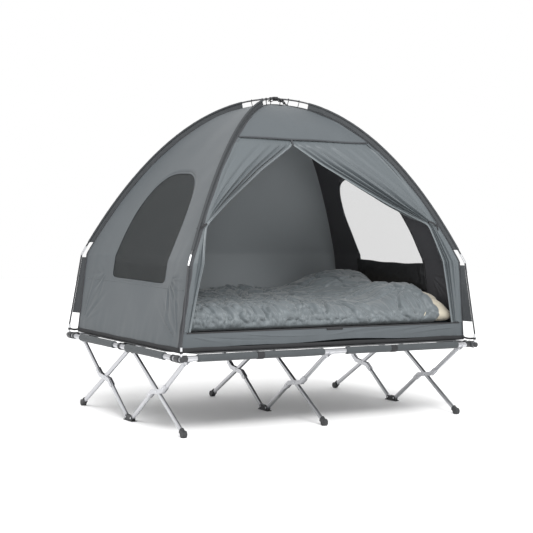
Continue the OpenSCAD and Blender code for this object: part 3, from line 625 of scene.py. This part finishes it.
def corner_seam(k, sx, sy):
    """Tape over a corner seam outside, and binding over it inside."""
    h = np.linspace(0.004, 0.992, 170)
    x, y, z = seam(h)
    line = np.stack([x * sx, y * sy, z], 1)
    rise = smooth((h - 0.3) / 0.6) * 1.1
    away = unit(np.stack([np.full_like(h, sx * 0.62), np.full_like(h, sy * 0.78), rise], 1))
    ribbon("corner_tape_%d" % k, line, away, 0.013, 0.0012, "seam_tape", lift=-0.0006)
    width = 0.021 + 0.003 * np.sin(h * 60 + k)
    # the binding inside takes the end walls' darkened inner look, which paints shade
    ribbon("corner_binding_%d" % k, line, -away, width, 0.0016, "inner_face_painted_shade", lift=0.0024)


def tent_floor():
    xs, ys = np.meshgrid(np.linspace(-1, 1, 90), np.linspace(-1, 1, 60))
    z = 0.4292 + 0.0005 * fields(np.stack([xs, ys, xs * 0], -1), 7, 2)
    P = np.stack([xs * (BASE_L - 0.003), ys * (BASE_W - 0.003), z], -1)
    o = cloth("tent_floor_cloth", P, "tent_base", np.array([0, 0, 1.0]))
    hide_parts("tent_floor")


def foot_band():
    """The floor's black rim, turned up over the foot of the walls; its line runs once around the tent."""
    n = 560
    t = np.arange(n) / n * 4
    side, w = t.astype(int), (t % 1) * 2 - 1
    one = np.ones(n)
    foot = np.stack([np.choose(side, [w, one, -w, -one]), np.choose(side, [-one, w, one, -w])], 1)
    away = unit(np.sign(foot) * np.abs(foot) ** 40)
    rise = np.linspace(0, 1, 7)[:, None]
    flat = np.stack([foot[:, 0], foot[:, 1], t * 0], 1)
    ripple = fields(flat * 9, 1.0, 12)[None]
    height = 0.0235 + 0.006 * fields(flat * 3, 1.0, 3)[None]
    puff = 0.0014 + 0.0016 * np.sin(math.pi * rise) * (1 + 0.8 * ripple)
    P = np.stack([foot[:, 0] * BASE_L + away[:, 0] * puff, foot[:, 1] * BASE_W + away[:, 1] * puff,
                  0.4275 + height * rise], -1)
    cloth("foot_band", P, "tent_base", np.concatenate([away, np.zeros((n, 1))], 1)[None],
          thick=0.0010, wrap=True)


back_wall()
front_wall()
for k, (sx, sy) in enumerate(CORNERS):
    corner_seam(k, sx, sy)
tent_floor()
foot_band()

# ---------- door halves ----------
# Each pair is for the right and the left half, in right-hand places
TIES = ((0.722, 1.082), (0.772, 1.058))
# the inner edge as (height, place) from the header to the tie
INNER = (((1.530, -0.077), (1.504, -0.076), (1.401, 0.075), (1.294, 0.264), (1.186, 0.462), (1.122, 0.600),
          (1.082, 0.700)),
         ((1.530, 0.083), (1.504, 0.084), (1.361, 0.334), (1.186, 0.594), (1.100, 0.708), (1.058, 0.752)))
# the foot of the inner edge, and how soon the edge swings out to it
INNER_FOOT = ((0.835, 0.95), (0.868, 0.8))
# folds by the share across: from the door's edge to the corner
FOLDS = (((0.0, 0.45), (0.022, 1.0), (0.05, 0.35), (0.075, -1.25), (0.11, 0.75), (0.15, 0.35), (0.185, -1.05),
          (0.235, 0.85), (0.30, 0.30), (0.345, -0.85), (0.40, 0.55), (0.50, 0.1), (0.56, -0.50), (0.64, 0.40),
          (0.76, -0.05), (0.82, -0.25), (0.90, 0.15), (1.0, 0.0)),
         ((0.0, 0.45), (0.025, 1.05), (0.06, 0.55), (0.09, -1.35), (0.14, 0.85), (0.19, 0.25), (0.23, -1.0),
          (0.31, 0.75), (0.39, 0.15), (0.44, -0.60), (0.52, 0.45), (0.64, 0.0), (0.72, -0.35), (0.82, 0.25),
          (1.0, 0.0)))


def inner_edge(m, z, out_x):
    """A door half's inner edge at each height: in to the tie, then hanging down to the sill."""
    tie_x, tie_z = TIES[m]
    foot_x, power = INNER_FOOT[m]
    zs, xs = np.array(INNER[m][::-1]).T
    hanging = lerp(tie_x - 0.022, foot_x, np.clip((tie_z - z) / (tie_z - SILL_Z), 0, 1) ** power)
    line = soften(np.where(z >= tie_z, np.interp(z, zs, xs), hanging), 13)
    return np.minimum(line, out_x - 0.018)


def pleats(m, Z, S, width, t_up, t_low, seed):
    """Depth of a door half's folds, with the wave that they come from and the cloth's fine noise."""
    above = Z >= TIES[m][1]
    knots, hills = np.array(FOLDS[m]).T
    reach = np.where(above, 1.0 + 0.35 * (1 - t_up), 1.0)
    swing = 0.015 * np.sin(Z * 8 + seed) * S * (1 - S) * 4
    wave = np.interp(np.clip(S * reach + swing, 0, 1), knots, hills)
    wave = np.apply_along_axis(soften, 1, wave, 7)
    drawn = np.where(above, 0.22 + 0.78 * smooth(t_up * 1.2) ** 0.7, 1 - 0.40 * t_low ** 1.3)
    depth = (0.0030 + 0.0205 * drawn) * np.clip(width / 0.16, 0.25, 1.0)
    wander = fields(np.stack([S * 3.0, Z * 1.8, Z * 0], -1), 1.0, seed, 2)
    fine = fields(np.stack([S * 22, Z * 3.0, Z * 0], -1), 1.0, seed + 7)
    D = wave * depth * (1 + 0.25 * wander) + fine * (0.0008 + 0.0024 * drawn) * smooth(S / 0.1)
    D = D + 0.008 * wander * np.sin(math.pi * np.where(above, t_up, t_low)) * (1 - S)
    return D * (1 - 0.55 * hill(Z - TIES[m][1], 0.016)) + 0.001, wave, fine


def door_half(side, m, seed):
    """Half of the door, drawn to its tie by the corner: a fan of pleats above it, a hanging bundle below."""
    tie_z, top_z = TIES[m][1], INNER[m][1][0]
    hanging = np.linspace(tie_z, SILL_Z + 0.002, 80)[1:]
    z = np.concatenate([np.linspace(HEADER_Z + 0.002, tie_z, 110), hanging])
    Z, S = np.meshgrid(z, np.linspace(0, 1, 190) ** 1.25, indexing="ij")
    out_x = seam(seam_at(z))[0] - 0.0065
    in_x = inner_edge(m, z, out_x)[:, None]
    out_x = out_x[:, None]
    X = in_x + (out_x - in_x) * S
    t_up = np.clip((top_z - Z) / (top_z - tie_z), 0, 1)
    t_low = np.clip((tie_z - Z) / (tie_z - SILL_Z), 0, 1)
    D, wave, fine = pleats(m, Z, S, out_x - in_x, t_up, t_low, seed)
    # it hangs in the door's opening, and covers the strip beside the door from the front
    strip = smooth((X - (out_x - 0.040)) / 0.022)
    under_head = smooth((HEADER_Z - 0.010 - Z) / 0.035)
    D = D * (1 - strip) + (0.0022 + 0.0012 * fine) * strip
    inset = 0.0035 * (1 - strip) * (1 - np.abs(wave) * 0.3) * under_head
    D = lerp(-0.0036 - 0.002 * np.abs(fine), D, under_head) - inset
    P, nrm = on_wall(X, Z, True, D[..., None])
    o = cloth("door_half_" + side, flipped(P, m), "flap_cloth", np.array([0, -1.0, 0.1]),
              thick=0.0011)
    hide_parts("door_flap_" + side)
    line, nrm = flipped(P[3:, 0], m), flipped(nrm[3:, 0], m)
    ribbon("door_hem_" + side, line, nrm, 0.013, 0.0024, "door_hem", lift=0.0006)


def door_tie(side, m):
    """A webbing loop around a door half, with its tail."""
    centre, nrm = on_wall(np.array([TIES[m][0] + 0.004]), np.array([TIES[m][1]]), True)
    ang = np.linspace(0, 2 * math.pi, 40, endpoint=False)
    across, half_w, half_t = np.array([0.9, 0, -0.43]), 0.030, 0.017
    c, s = np.cos(ang)[:, None] * across, np.sin(ang)[:, None] * nrm
    loop, out = centre + c * half_w + s * half_t, c / half_w + s / half_t
    ribbon("flap_tie_" + side, flipped(loop, m), flipped(out, m), 0.010, 0.0012, "webbing", closed=True)
    t = np.linspace(0, 1, 8)[:, None]
    tail = centre + nrm * half_t + np.array([0.024, 0, -0.004]) + np.array([0.014, 0, -0.055]) * t
    out = flipped(np.tile(nrm, (8, 1)), m)
    ribbon("flap_tie_tail_" + side, flipped(tail, m), out, 0.009, 0.001, "webbing")


def door_tabs():
    """A tab at the door's apex and one on the sill."""
    z = np.linspace(HEADER_Z - 0.038, HEADER_Z + 0.003, 10)
    ribbon("apex_tab", *on_wall(np.full(10, -0.080), z, True, 0.004), 0.012, 0.002, "seam_tape")
    x = np.linspace(-0.03, 0.075, 14)
    ribbon("sill_tab", *on_front(x, np.full_like(x, SILL_Z - 0.005), 0.0016), 0.017, 0.002, "webbing")


for m, side in ((0, "right"), (1, "left")):
    door_half(side, m, 11.0 + 30 * m)
    door_tie(side, m)
door_tabs()

# ---------- bedding ----------
QUILT_Y0, QUILT_Y1, LINING_Y0, LINING_Y1 = -0.578, 0.562, -0.568, 0.552
QUILT_FOOT_X, LINING_FOOT_X = -0.872, 0.64
PILLOW_L, PILLOW_W, PILLOW_X, PILLOW_Y = 0.138, 0.225, 0.712, 0.275


def height(x, y):
    """Top of the bedding, with a mound over each pillow."""
    z = 0.638 + 0.012 * np.sin(2.1 * x + 0.4) * np.sin(3.0 * y + 0.5)
    for cx, cy, rx, ry, up in ((0.70, -0.27, 0.22, 0.25, 0.088), (0.66, 0.26, 0.24, 0.24, 0.122)):
        d = ((x - cx) / rx) ** 2 + ((y - cy) / ry) ** 2
        z = z + up * np.exp(-d ** 1.35 * 0.8)
    return z + 0.030 * smooth((y - 0.30) / 0.25) * smooth((0.55 - x) / 0.5)


def slab_ring(ny):
    """A soft layer's section as (across, level), and how many of its points are on top."""
    n_top, n_side = int(ny * 0.62), int(ny * 0.07)
    turn = np.linspace(0, 1, n_side, endpoint=False) * math.pi
    ring = [(-1 + 2 * t, 1.0) for t in np.linspace(0, 1, n_top, endpoint=False)]
    ring += [(1 + 0.06 * math.cos(math.pi / 2 - g), math.sin(math.pi / 2 - g)) for g in turn]
    ring += [(1 - 2 * t, -1.0) for t in np.linspace(0, 1, ny - n_top - 2 * n_side, endpoint=False)]
    ring += [(-1 + 0.06 * math.cos(-math.pi / 2 - g), math.sin(-math.pi / 2 - g)) for g in turn]
    return np.array(ring), n_top


def quilting(P, across, level, cap, y0, seed):
    """How far the quilt's cloth puffs out and creases in."""
    X, Y = P[..., 0], P[..., 1]
    q = np.stack([X, Y, level * 0.05], -1)
    warp = np.stack([fields(q, 2.3, seed + 1, 2), fields(q, 2.3, seed + 2, 2), np.zeros_like(X)], -1)
    warped = q + 0.10 * warp
    big = 1 - 2.6 * np.abs(fields(warped, (4.2, 5.2, 4), seed + 3))
    mid_line = fields(warped, (7.5, 9.5, 8), seed + 4)
    small_line = fields(warped + 0.04 * warp, (17.0, 12.5, 14), seed + 5)
    tiny = fields(warped + 0.05 * warp, (52.0, 34.0, 40), seed + 9)
    # sewn channels run along the bed
    pitch = 0.165
    from_seam = np.abs(((Y + 0.03 * warp[..., 0] - y0) / pitch + 0.5) % 1 - 0.5) * pitch
    pucker = fields(q, (34.0, 7.0, 8), seed + 6)
    edge_face = hill(np.abs(across) - 1.0, 0.16) * (level > -0.9)
    low = np.stack([level * 0.02, 0 * level, 0 * level], -1)
    edge_line = fields(q + low + 0.03 * warp, (15.0, 3.5, 5), seed + 8)
    calm = 0.40 + 0.60 * smooth((0.35 - X) / 0.5)
    D = (0.0100 * big - 0.0125 * hill(mid_line, 0.085) - 0.0095 * hill(small_line, 0.11) * calm
         + 0.0018 * tiny + 0.0060 * small_line * calm - 0.0085 * hill(pucker, 0.16) * hill(from_seam, 0.055) * calm
         - 0.0110 * hill(from_seam, 0.008)
         - 0.0130 * hill(edge_line, 0.13) * edge_face + 0.008 * edge_line * edge_face + 0.009)
    return np.clip(D, -0.022, 0.021) * smooth((level + 0.75) / 0.9) * np.clip(cap + 0.2, 0, 1)


def slab(name, slot, x0, end, y0, y1, top, under, seed, nx, ny, quilted=False):
    """A soft layer: a closed loop across the bed, swept along it. end(y) gives its far end."""
    a = np.linspace(0, 1, nx)
    a = 0.5 - 0.125 * np.cos(math.pi * a) - 0.375 * (1 - 2 * a)
    a = (a - a[0]) / (a[-1] - a[0])
    ring, n_top = slab_ring(ny)
    A, Q = np.meshgrid(a, np.arange(ny), indexing="ij")
    across, level = ring[:, 0][Q], ring[:, 1][Q]
    Y = (y0 + y1) / 2 + (y1 - y0) / 2 * across / 1.06
    length = end(Y) - x0
    X = x0 + length * A
    # the two ends close like the edges do
    close = 0.035
    cap = np.sqrt(np.clip(1 - np.clip((close - np.minimum(A, 1 - A) * length) / close, 0, 1) ** 2, 0, 1))
    side_drop = smooth((np.abs(across) - 0.93) / 0.13)
    T, U = top(X, Y), under(X, Y)
    Z = (T + U) / 2 + (T - U) / 2 * level * cap * (1 - 0.25 * side_drop * (level > 0))
    P = np.stack([X, Y, Z], -1)
    if quilted:
        D = quilting(P, across, level, cap, y0, seed)
    else:
        D = fields(P, 6, seed, 2) * 0.004 + fields(P, 22, seed + 5) * 0.0016
    N = grid_normals(P, True)
    if float(N[:, :n_top, 2].sum()) < 0:
        N = -N
    P = P + N * D[..., None]
    o = mesh_object(name, P.reshape(-1, 3), grid_faces(nx, ny, True) + end_caps(nx, ny), slot, "tent")
    return o


def quilt_end(y):
    return (0.772 - 0.075 * hill(y + 0.06, 0.09) + 0.020 * smooth((-0.15 - y) / 0.15)
            - 0.030 * smooth((-0.36 - y) / 0.16) + 0.006 * np.sin(17 * y))


def quilt_top(x, y):
    return height(x, y) - 0.030 * smooth((np.abs(y + 0.005) - 0.44) / 0.14) * (y < 0)


def quilt_under(x, y):
    return 0.575 - 0.048 * smooth((-0.42 - y) / 0.12) + np.clip(height(x, y) - 0.66, 0, 1) * 0.8


def lining_end(y):
    return quilt_end(y) + 0.030 + 0.004 * np.sin(23 * y + 2) + 0.070 * smooth((-0.38 - y) / 0.16)


def lining_top(x, y):
    return quilt_top(x, y) - 0.026 + 0.014 * smooth((x - quilt_end(y) + 0.012) / 0.02)


def level_at(value):
    """A slab's end, top or underside at one value everywhere."""
    return lambda *place: np.full_like(place[0], value)


def pillow(name, cy, z0, h, seed):
    n, m = 60, 80
    rows, turns = np.linspace(-math.pi / 2, math.pi / 2, n), np.linspace(0, 2 * math.pi, m, endpoint=False)
    th, ph = np.meshgrid(rows, turns, indexing="ij")

    def power(c, e):
        return np.sign(c) * np.abs(c) ** e

    x = PILLOW_L * power(np.cos(th), 0.55) * power(np.cos(ph), 0.45)
    y = PILLOW_W * power(np.cos(th), 0.55) * power(np.sin(ph), 0.45)
    corners = (np.abs(x / PILLOW_L) ** 4 + np.abs(y / PILLOW_W) ** 4) / 2
    z = h / 2 * power(np.sin(th), 0.9) * (1 - 0.35 * corners)
    P = np.stack([PILLOW_X + x, cy + y, z0 + h / 2 + z], -1)
    P[..., 2] += fields(P, 8, seed, 2) * 0.006
    o = mesh_object(name, P.reshape(-1, 3), grid_faces(n, m, True) + end_caps(n, m), "pillow_cloth", "tent")
    return o


quilt = slab("quilt", "quilt_cloth", QUILT_FOOT_X, quilt_end, QUILT_Y0, QUILT_Y1, quilt_top, quilt_under, 5.0,
             430, 270, quilted=True)
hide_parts("sleeping_bag")
lining = slab("lining", "lining_cloth", LINING_FOOT_X, lining_end, LINING_Y0, LINING_Y1, lining_top,
              lambda x, y: quilt_under(x, y) + 0.006, 9.0, 110, 190)
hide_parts("bag_lining")
mattress = slab("mattress", "mattress_skin", -0.878, level_at(0.878), -0.535, 0.56, level_at(0.564),
                level_at(0.4325), 15.0, 120, 120)
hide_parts("air_mattress")
front_pillow = pillow("pillow_front", -PILLOW_Y, 0.588, 0.104, 3.0)
pillow("pillow_back", PILLOW_Y, 0.605, 0.118, 6.0)
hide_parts("pillow")

# ---------- deck cloth and its hems ----------
HEM_R, HEM_BORE_R = 0.0193, 0.0143


def deck_sheet():
    """The deck's cloth, cut narrower at its four corners."""
    y_half, corner_y, x_mid, x_corner = 0.637, 0.48, 0.941, 0.845
    across, along = np.meshgrid(np.linspace(-1, 1, 90), np.linspace(-1, 1, 140), indexing="ij")
    y = across * y_half
    x_half = lerp(x_mid, x_corner, np.clip((np.abs(y) - corner_y) / (y_half - corner_y), 0, 1))
    P = np.stack([along * x_half, y, np.full_like(y, 0.4265)], -1)
    P[..., 2] += fields(P, 5, 8) * 0.0006
    deck = cloth("deck_cloth", P, "deck_cloth", np.array([0, 0, 1.0]),
                 thick=0.0018, body="centre_frame")
    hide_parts("deck")
    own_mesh(deck)


def hem(name, start, end, axis, fixed, body, seed):
    """The deck's rolled hem around a tube along an axis, 0 for X or 1 for Y, at fixed on the other axis."""
    n, m = 90, 40
    T, G = np.meshgrid(np.linspace(0, 1, n), np.linspace(0, 2 * math.pi, m, endpoint=False), indexing="ij")
    run = lerp(start, end, T)
    q = np.stack([np.cos(G) * 0.9, np.sin(G) * 0.9, run * 11 + seed], -1)
    r = HEM_R + 0.0006 * fields(q, 1.0) + 0.0004 * np.sin(G * 3 + run * 14 + seed)
    ends = np.minimum(T, 1 - T) * abs(end - start)
    r = r + 0.0007 * hill(ends - 0.009, 0.003) - 0.0032 * hill(ends, 0.0022)
    co = []
    for radius in (r, np.full_like(r, HEM_BORE_R)):
        place = [None, None, TUBE_Z + radius * np.sin(G)]
        place[axis], place[1 - axis] = run, fixed + radius * np.cos(G)
        co.append(np.stack(place, -1).reshape(-1, 3))
    total = n * m
    faces = grid_faces(n, m, True) + grid_faces(n, m, True, total, True) + rim_faces(n, m, True, total)
    return mesh_object(name, np.concatenate(co), faces, "rail_cloth", body)


def end_hems():
    for sx, end in ((1, "r"), (-1, "l")):
        for sy, side in ((1, "back"), (-1, "front")):
            name = "end_hem_%s_%s" % (end, side)
            o = hem(name, sy * 0.072, sy * 0.500, 1, sx * END_BAR_X, "centre_frame", sx + 3 * sy)
            if sx > 0 and sy > 0:
                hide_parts("end_sleeves")
            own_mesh(o)


def rail_hems(sy, side):
    """A side rail's two hems, and the bands of webbing round them, tucked in under the deck."""
    body = "rail_" + side
    first = hem("rail_hem_%s_l" % side, -0.845, -0.074, 0, sy * RAIL_Y, body, 5 + sy)
    hem("rail_hem_%s_r" % side, 0.066, 0.845, 0, sy * RAIL_Y, body, 9 + sy)
    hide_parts("rail_sleeves_" + side)
    g = np.radians(np.linspace(62, -205, 44))
    nrm = np.stack([g * 0, sy * np.cos(g), np.sin(g)], 1)
    for i, x in enumerate((-0.475, 0.385)):
        pts = np.array([x, sy * RAIL_Y, TUBE_Z]) + nrm * 0.0200
        width = 0.042 + 0.001 * np.sin(g * 9)
        band = ribbon("rail_band_%s_%d" % (side, i), pts, nrm, width, 0.0014, "webbing", body)
        if i == 0:
            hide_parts("rail_straps_" + side)


deck_sheet()
end_hems()
rail_hems(1, "back")
rail_hems(-1, "front")

# ---------- sleeves, ties and cords along the poles ----------


def pole_point(s):
    """Axis of a pole above its elbow, at the distance s from the middle, as (distance, height)."""
    return np.stack([s, POLE_APEX_Z - (POLE_APEX_Z - POLE_ELBOW_Z) * arch(s / POLE_ELBOW_S)], -1)


def canopy_point(s):
    """The corner seam above its elbow, as pole_point."""
    return np.stack([s, APEX_Z - (APEX_Z - ELBOW_Z) * arch(s / ELBOW_S)], -1)


def corner(q, sx, sy):
    """Turns a (distance, height) point of a pole's plane to its corner."""
    return np.stack([sx * DIR[0] * q[..., 0], sy * DIR[1] * q[..., 0], q[..., 1]], -1)


def across_pole(sx, sy):
    return np.cross([0, 0, 1], [sx * DIR[0], sy * DIR[1], 0])


def pole_fin(i, sx, sy):
    """The cloth fin from a pole to the canopy's seam above the elbow, and the sleeve round the pole."""
    across = across_pole(sx, sy)
    share = np.linspace(0.172, 0.964, 200)
    outer, inner = pole_point(share * POLE_ELBOW_S), canopy_point(share * ELBOW_S) + [0.0, 0.0004]
    k = np.linspace(0.04, 1, 9)[None, :, None]
    P = corner(lerp(outer[:, None], inner[:, None], k), sx, sy)
    wave = fields(P, 30, 60 + i) * 0.0022 + fields(P, 75, 70 + i) * 0.0008
    P = P + (wave * np.sin(math.pi * k[..., 0]))[..., None] * across
    fin = cloth("pole_fin_%d" % i, P, "fin_cloth", across)
    line = corner(outer, sx, sy)
    tube("pole_sleeve_%d" % i, line, POLE_R + 0.0014 + 0.0005 * fields(line, 60, 80 + i), "fin_cloth", 12)
    return fin


def corner_fin(i, sx, sy):
    """The cloth fin from the pole below its elbow to the tent's corner."""
    across = across_pole(sx, sy)
    z = np.linspace(0.534, 0.853, 90)
    s = lerp(POLE_ELBOW_S, PIN_S, (POLE_ELBOW_Z - z) / (POLE_ELBOW_Z - TIP_TOP)) - POLE_R - 0.0008
    outer = corner(np.stack([s, z], -1), sx, sy)
    x, y, _ = seam(seam_at(z))
    inner = np.stack([sx * (x + 0.0004), sy * (y + 0.0002), z], -1)
    k = np.linspace(0, 1, 14)[None, :, None]
    P = lerp(outer[:, None], inner[:, None], k)
    wave = fields(P, (40, 40, 22), 90 + i) * 0.0030
    wave = wave + (1 - 2 * np.abs(fields(P, (70, 70, 45), 95 + i))) * 0.0012
    P = P + (wave * np.sin(math.pi * k[..., 0]) ** 0.7)[..., None] * across
    cloth("corner_fin_%d" % i, P, "fin_cloth", across)


def canopy_clips(i, sx, sy):
    """Two clips that hang the canopy from a pole near the hub."""
    across = across_pole(sx, sy)
    for j, s in enumerate((0.075, 0.135)):
        top = corner(pole_point(np.array(s)), sx, sy)
        foot = corner(canopy_point(np.array(s - 0.006)), sx, sy) + np.array([0, 0, 0.001])
        loop = [top + 0.0066 * (math.cos(g) * np.array([0, 0, 1]) + math.sin(g) * across)
                for g in np.linspace(math.pi * 0.95, -math.pi * 0.95, 16)]
        path = [foot, lerp(foot, loop[0], 0.5)] + loop + [lerp(loop[-1], foot, 0.5), foot + across * 0.002]
        tube("canopy_clip_%d" % (2 * i + j), path, 0.0019, "webbing", 8)


def corner_strap(i, sx, sy):
    """Webbing from the tent's corner to a ring on the pole's tip."""
    ang = np.linspace(0, 2 * math.pi, 28, endpoint=False)
    ring = np.stack([np.cos(ang), np.sin(ang), ang * 0], 1)
    c = np.array([sx * END_BAR_X, sy * PIN_Y, 0.4385])
    o = ribbon("tip_ring_%d" % i, c + ring * 0.0068, ring, 0.012, 0.0014, "webbing", closed=True)
    if i == 0:
        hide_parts("corner_straps")
    t = np.linspace(0, 1, 16)[:, None]
    a, b = np.array([sx * 0.919, sy * 0.6035, 0.4425]), c + np.array([-sx * 0.0045, -sy * 0.0075, 0.0])
    line = lerp(a, b, t) + np.array([0, 0, -0.004]) * np.sin(math.pi * t)
    side = np.tile(np.cross(b - a, (0, 0, 1)), (16, 1))
    ribbon("corner_strap_%d" % i, line, side, 0.011, 0.0014, "webbing", lift=-0.0007)


def crown_patch():
    half = 0.0448
    a, b = np.meshgrid(np.linspace(-half, half, 26), np.linspace(-half, half, 26))
    x, y = (a - b) / math.sqrt(2), (a + b) / math.sqrt(2)
    s = ((np.abs(x) / DIR[0]) ** 4 + (np.abs(y) / DIR[1]) ** 4) ** 0.25
    z = canopy_point(s)[..., 1] + 0.0024 + 0.0005 * fields(np.stack([x, y, x * 0], -1), 70)
    o = cloth("crown_patch_cloth", np.stack([x, y, z], -1), "seam_tape", np.array([0, 0, 1.0]))
    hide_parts("crown_patch")


def hub_cords():
    """A tangle of short cord turns round the hub."""
    draws = np.random.default_rng(8)
    for i in range(7):
        start = draws.uniform(0, 2 * math.pi)
        tilt = draws.uniform(-0.5, 0.5)
        pts = []
        for t in np.linspace(0, 1, 22):
            w = start + t * draws.uniform(3.0, 3.4)
            r = 0.030 + 0.030 * math.sin(t * math.pi) * (0.6 + 0.08 * i)
            z = POLE_APEX_Z + 0.004 * math.sin(w * 2 + tilt) - 0.018 * t + 0.004
            pts.append((r * math.cos(w), r * math.sin(w) * 0.7, z))
        tube("hub_cord_%d" % i, pts, 0.0017, "webbing", 8)


for i, (sx, sy) in enumerate(CORNERS):
    fin = pole_fin(i, sx, sy)
    corner_fin(i, sx, sy)
    if i == 0:
        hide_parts("pole_sleeves")
    canopy_clips(i, sx, sy)
    corner_strap(i, sx, sy)
crown_patch()
hub_cords()

# ---------- stage ----------


def studio_floor():
    reach = 12
    me = bpy.data.meshes.new("floor")
    corners = [(-reach, -reach, 0), (reach, -reach, 0), (reach, reach, 0), (-reach, reach, 0)]
    me.from_pydata(corners, [], [[0, 1, 2, 3]])
    me.update()
    floor = bpy.data.objects.new("floor", me)
    bpy.context.scene.collection.objects.link(floor)
    me.materials.append(material("floor_white", (0.96, 0.96, 0.96), 0.85, mottle=(0.7, 0.985)))


def add_light(name, kind, power, aim):
    """A light that shines along aim."""
    light = bpy.data.lights.new(name, kind)
    light.energy = power
    o = bpy.data.objects.new(name, light)
    bpy.context.scene.collection.objects.link(o)
    o.rotation_euler = Vector(aim).to_track_quat("-Z", "Y").to_euler()
    return o


def area_light(name, place, target, size, power):
    o = add_light(name, "AREA", power, Vector(target) - Vector(place))
    o.data.shape = "RECTANGLE"
    o.data.size, o.data.size_y = size
    o.location = place


studio_floor()
bpy.context.scene.view_settings.view_transform = "Standard"
world = bpy.data.worlds.new("studio")
bpy.context.scene.world = world
world.use_nodes = True
world.node_tree.nodes["Background"].inputs["Color"].default_value = (1, 1, 1, 1)
world.node_tree.nodes["Background"].inputs["Strength"].default_value = 1.0
sun = add_light("sun", "SUN", 1.7, (0.42, 0.60, -0.95))
sun.data.angle = math.radians(38)
area_light("key", (-1.0, -4.2, 4.2), (0, 0, 0.9), (1.8, 1.4), 150)
area_light("inner", (-2.6, -5.2, 1.9), (0.2, 0.2, 0.8), (1.2, 1.0), 55)

# ---------- camera ----------
eye = Vector((-4.1149, -6.4091, 1.1778))
yaw, pitch, roll = 0.5667, -0.0467, 0.0198
ahead = Vector((math.sin(yaw) * math.cos(pitch), math.cos(yaw) * math.cos(pitch), math.sin(pitch)))
level_right = ahead.cross(Vector((0, 0, 1))).normalized()
level_up = level_right.cross(ahead)
right = level_right * math.cos(roll) + level_up * math.sin(roll)
top = level_up * math.cos(roll) - level_right * math.sin(roll)
lens = bpy.data.cameras.new("camera")
lens.lens = 90.2
lens.sensor_width = 36
camera = bpy.data.objects.new("camera", lens)
bpy.context.scene.collection.objects.link(camera)
camera.matrix_world = Matrix([(right[k], top[k], -ahead[k], eye[k]) for k in range(3)] + [(0, 0, 0, 1)])
bpy.context.scene.camera = camera

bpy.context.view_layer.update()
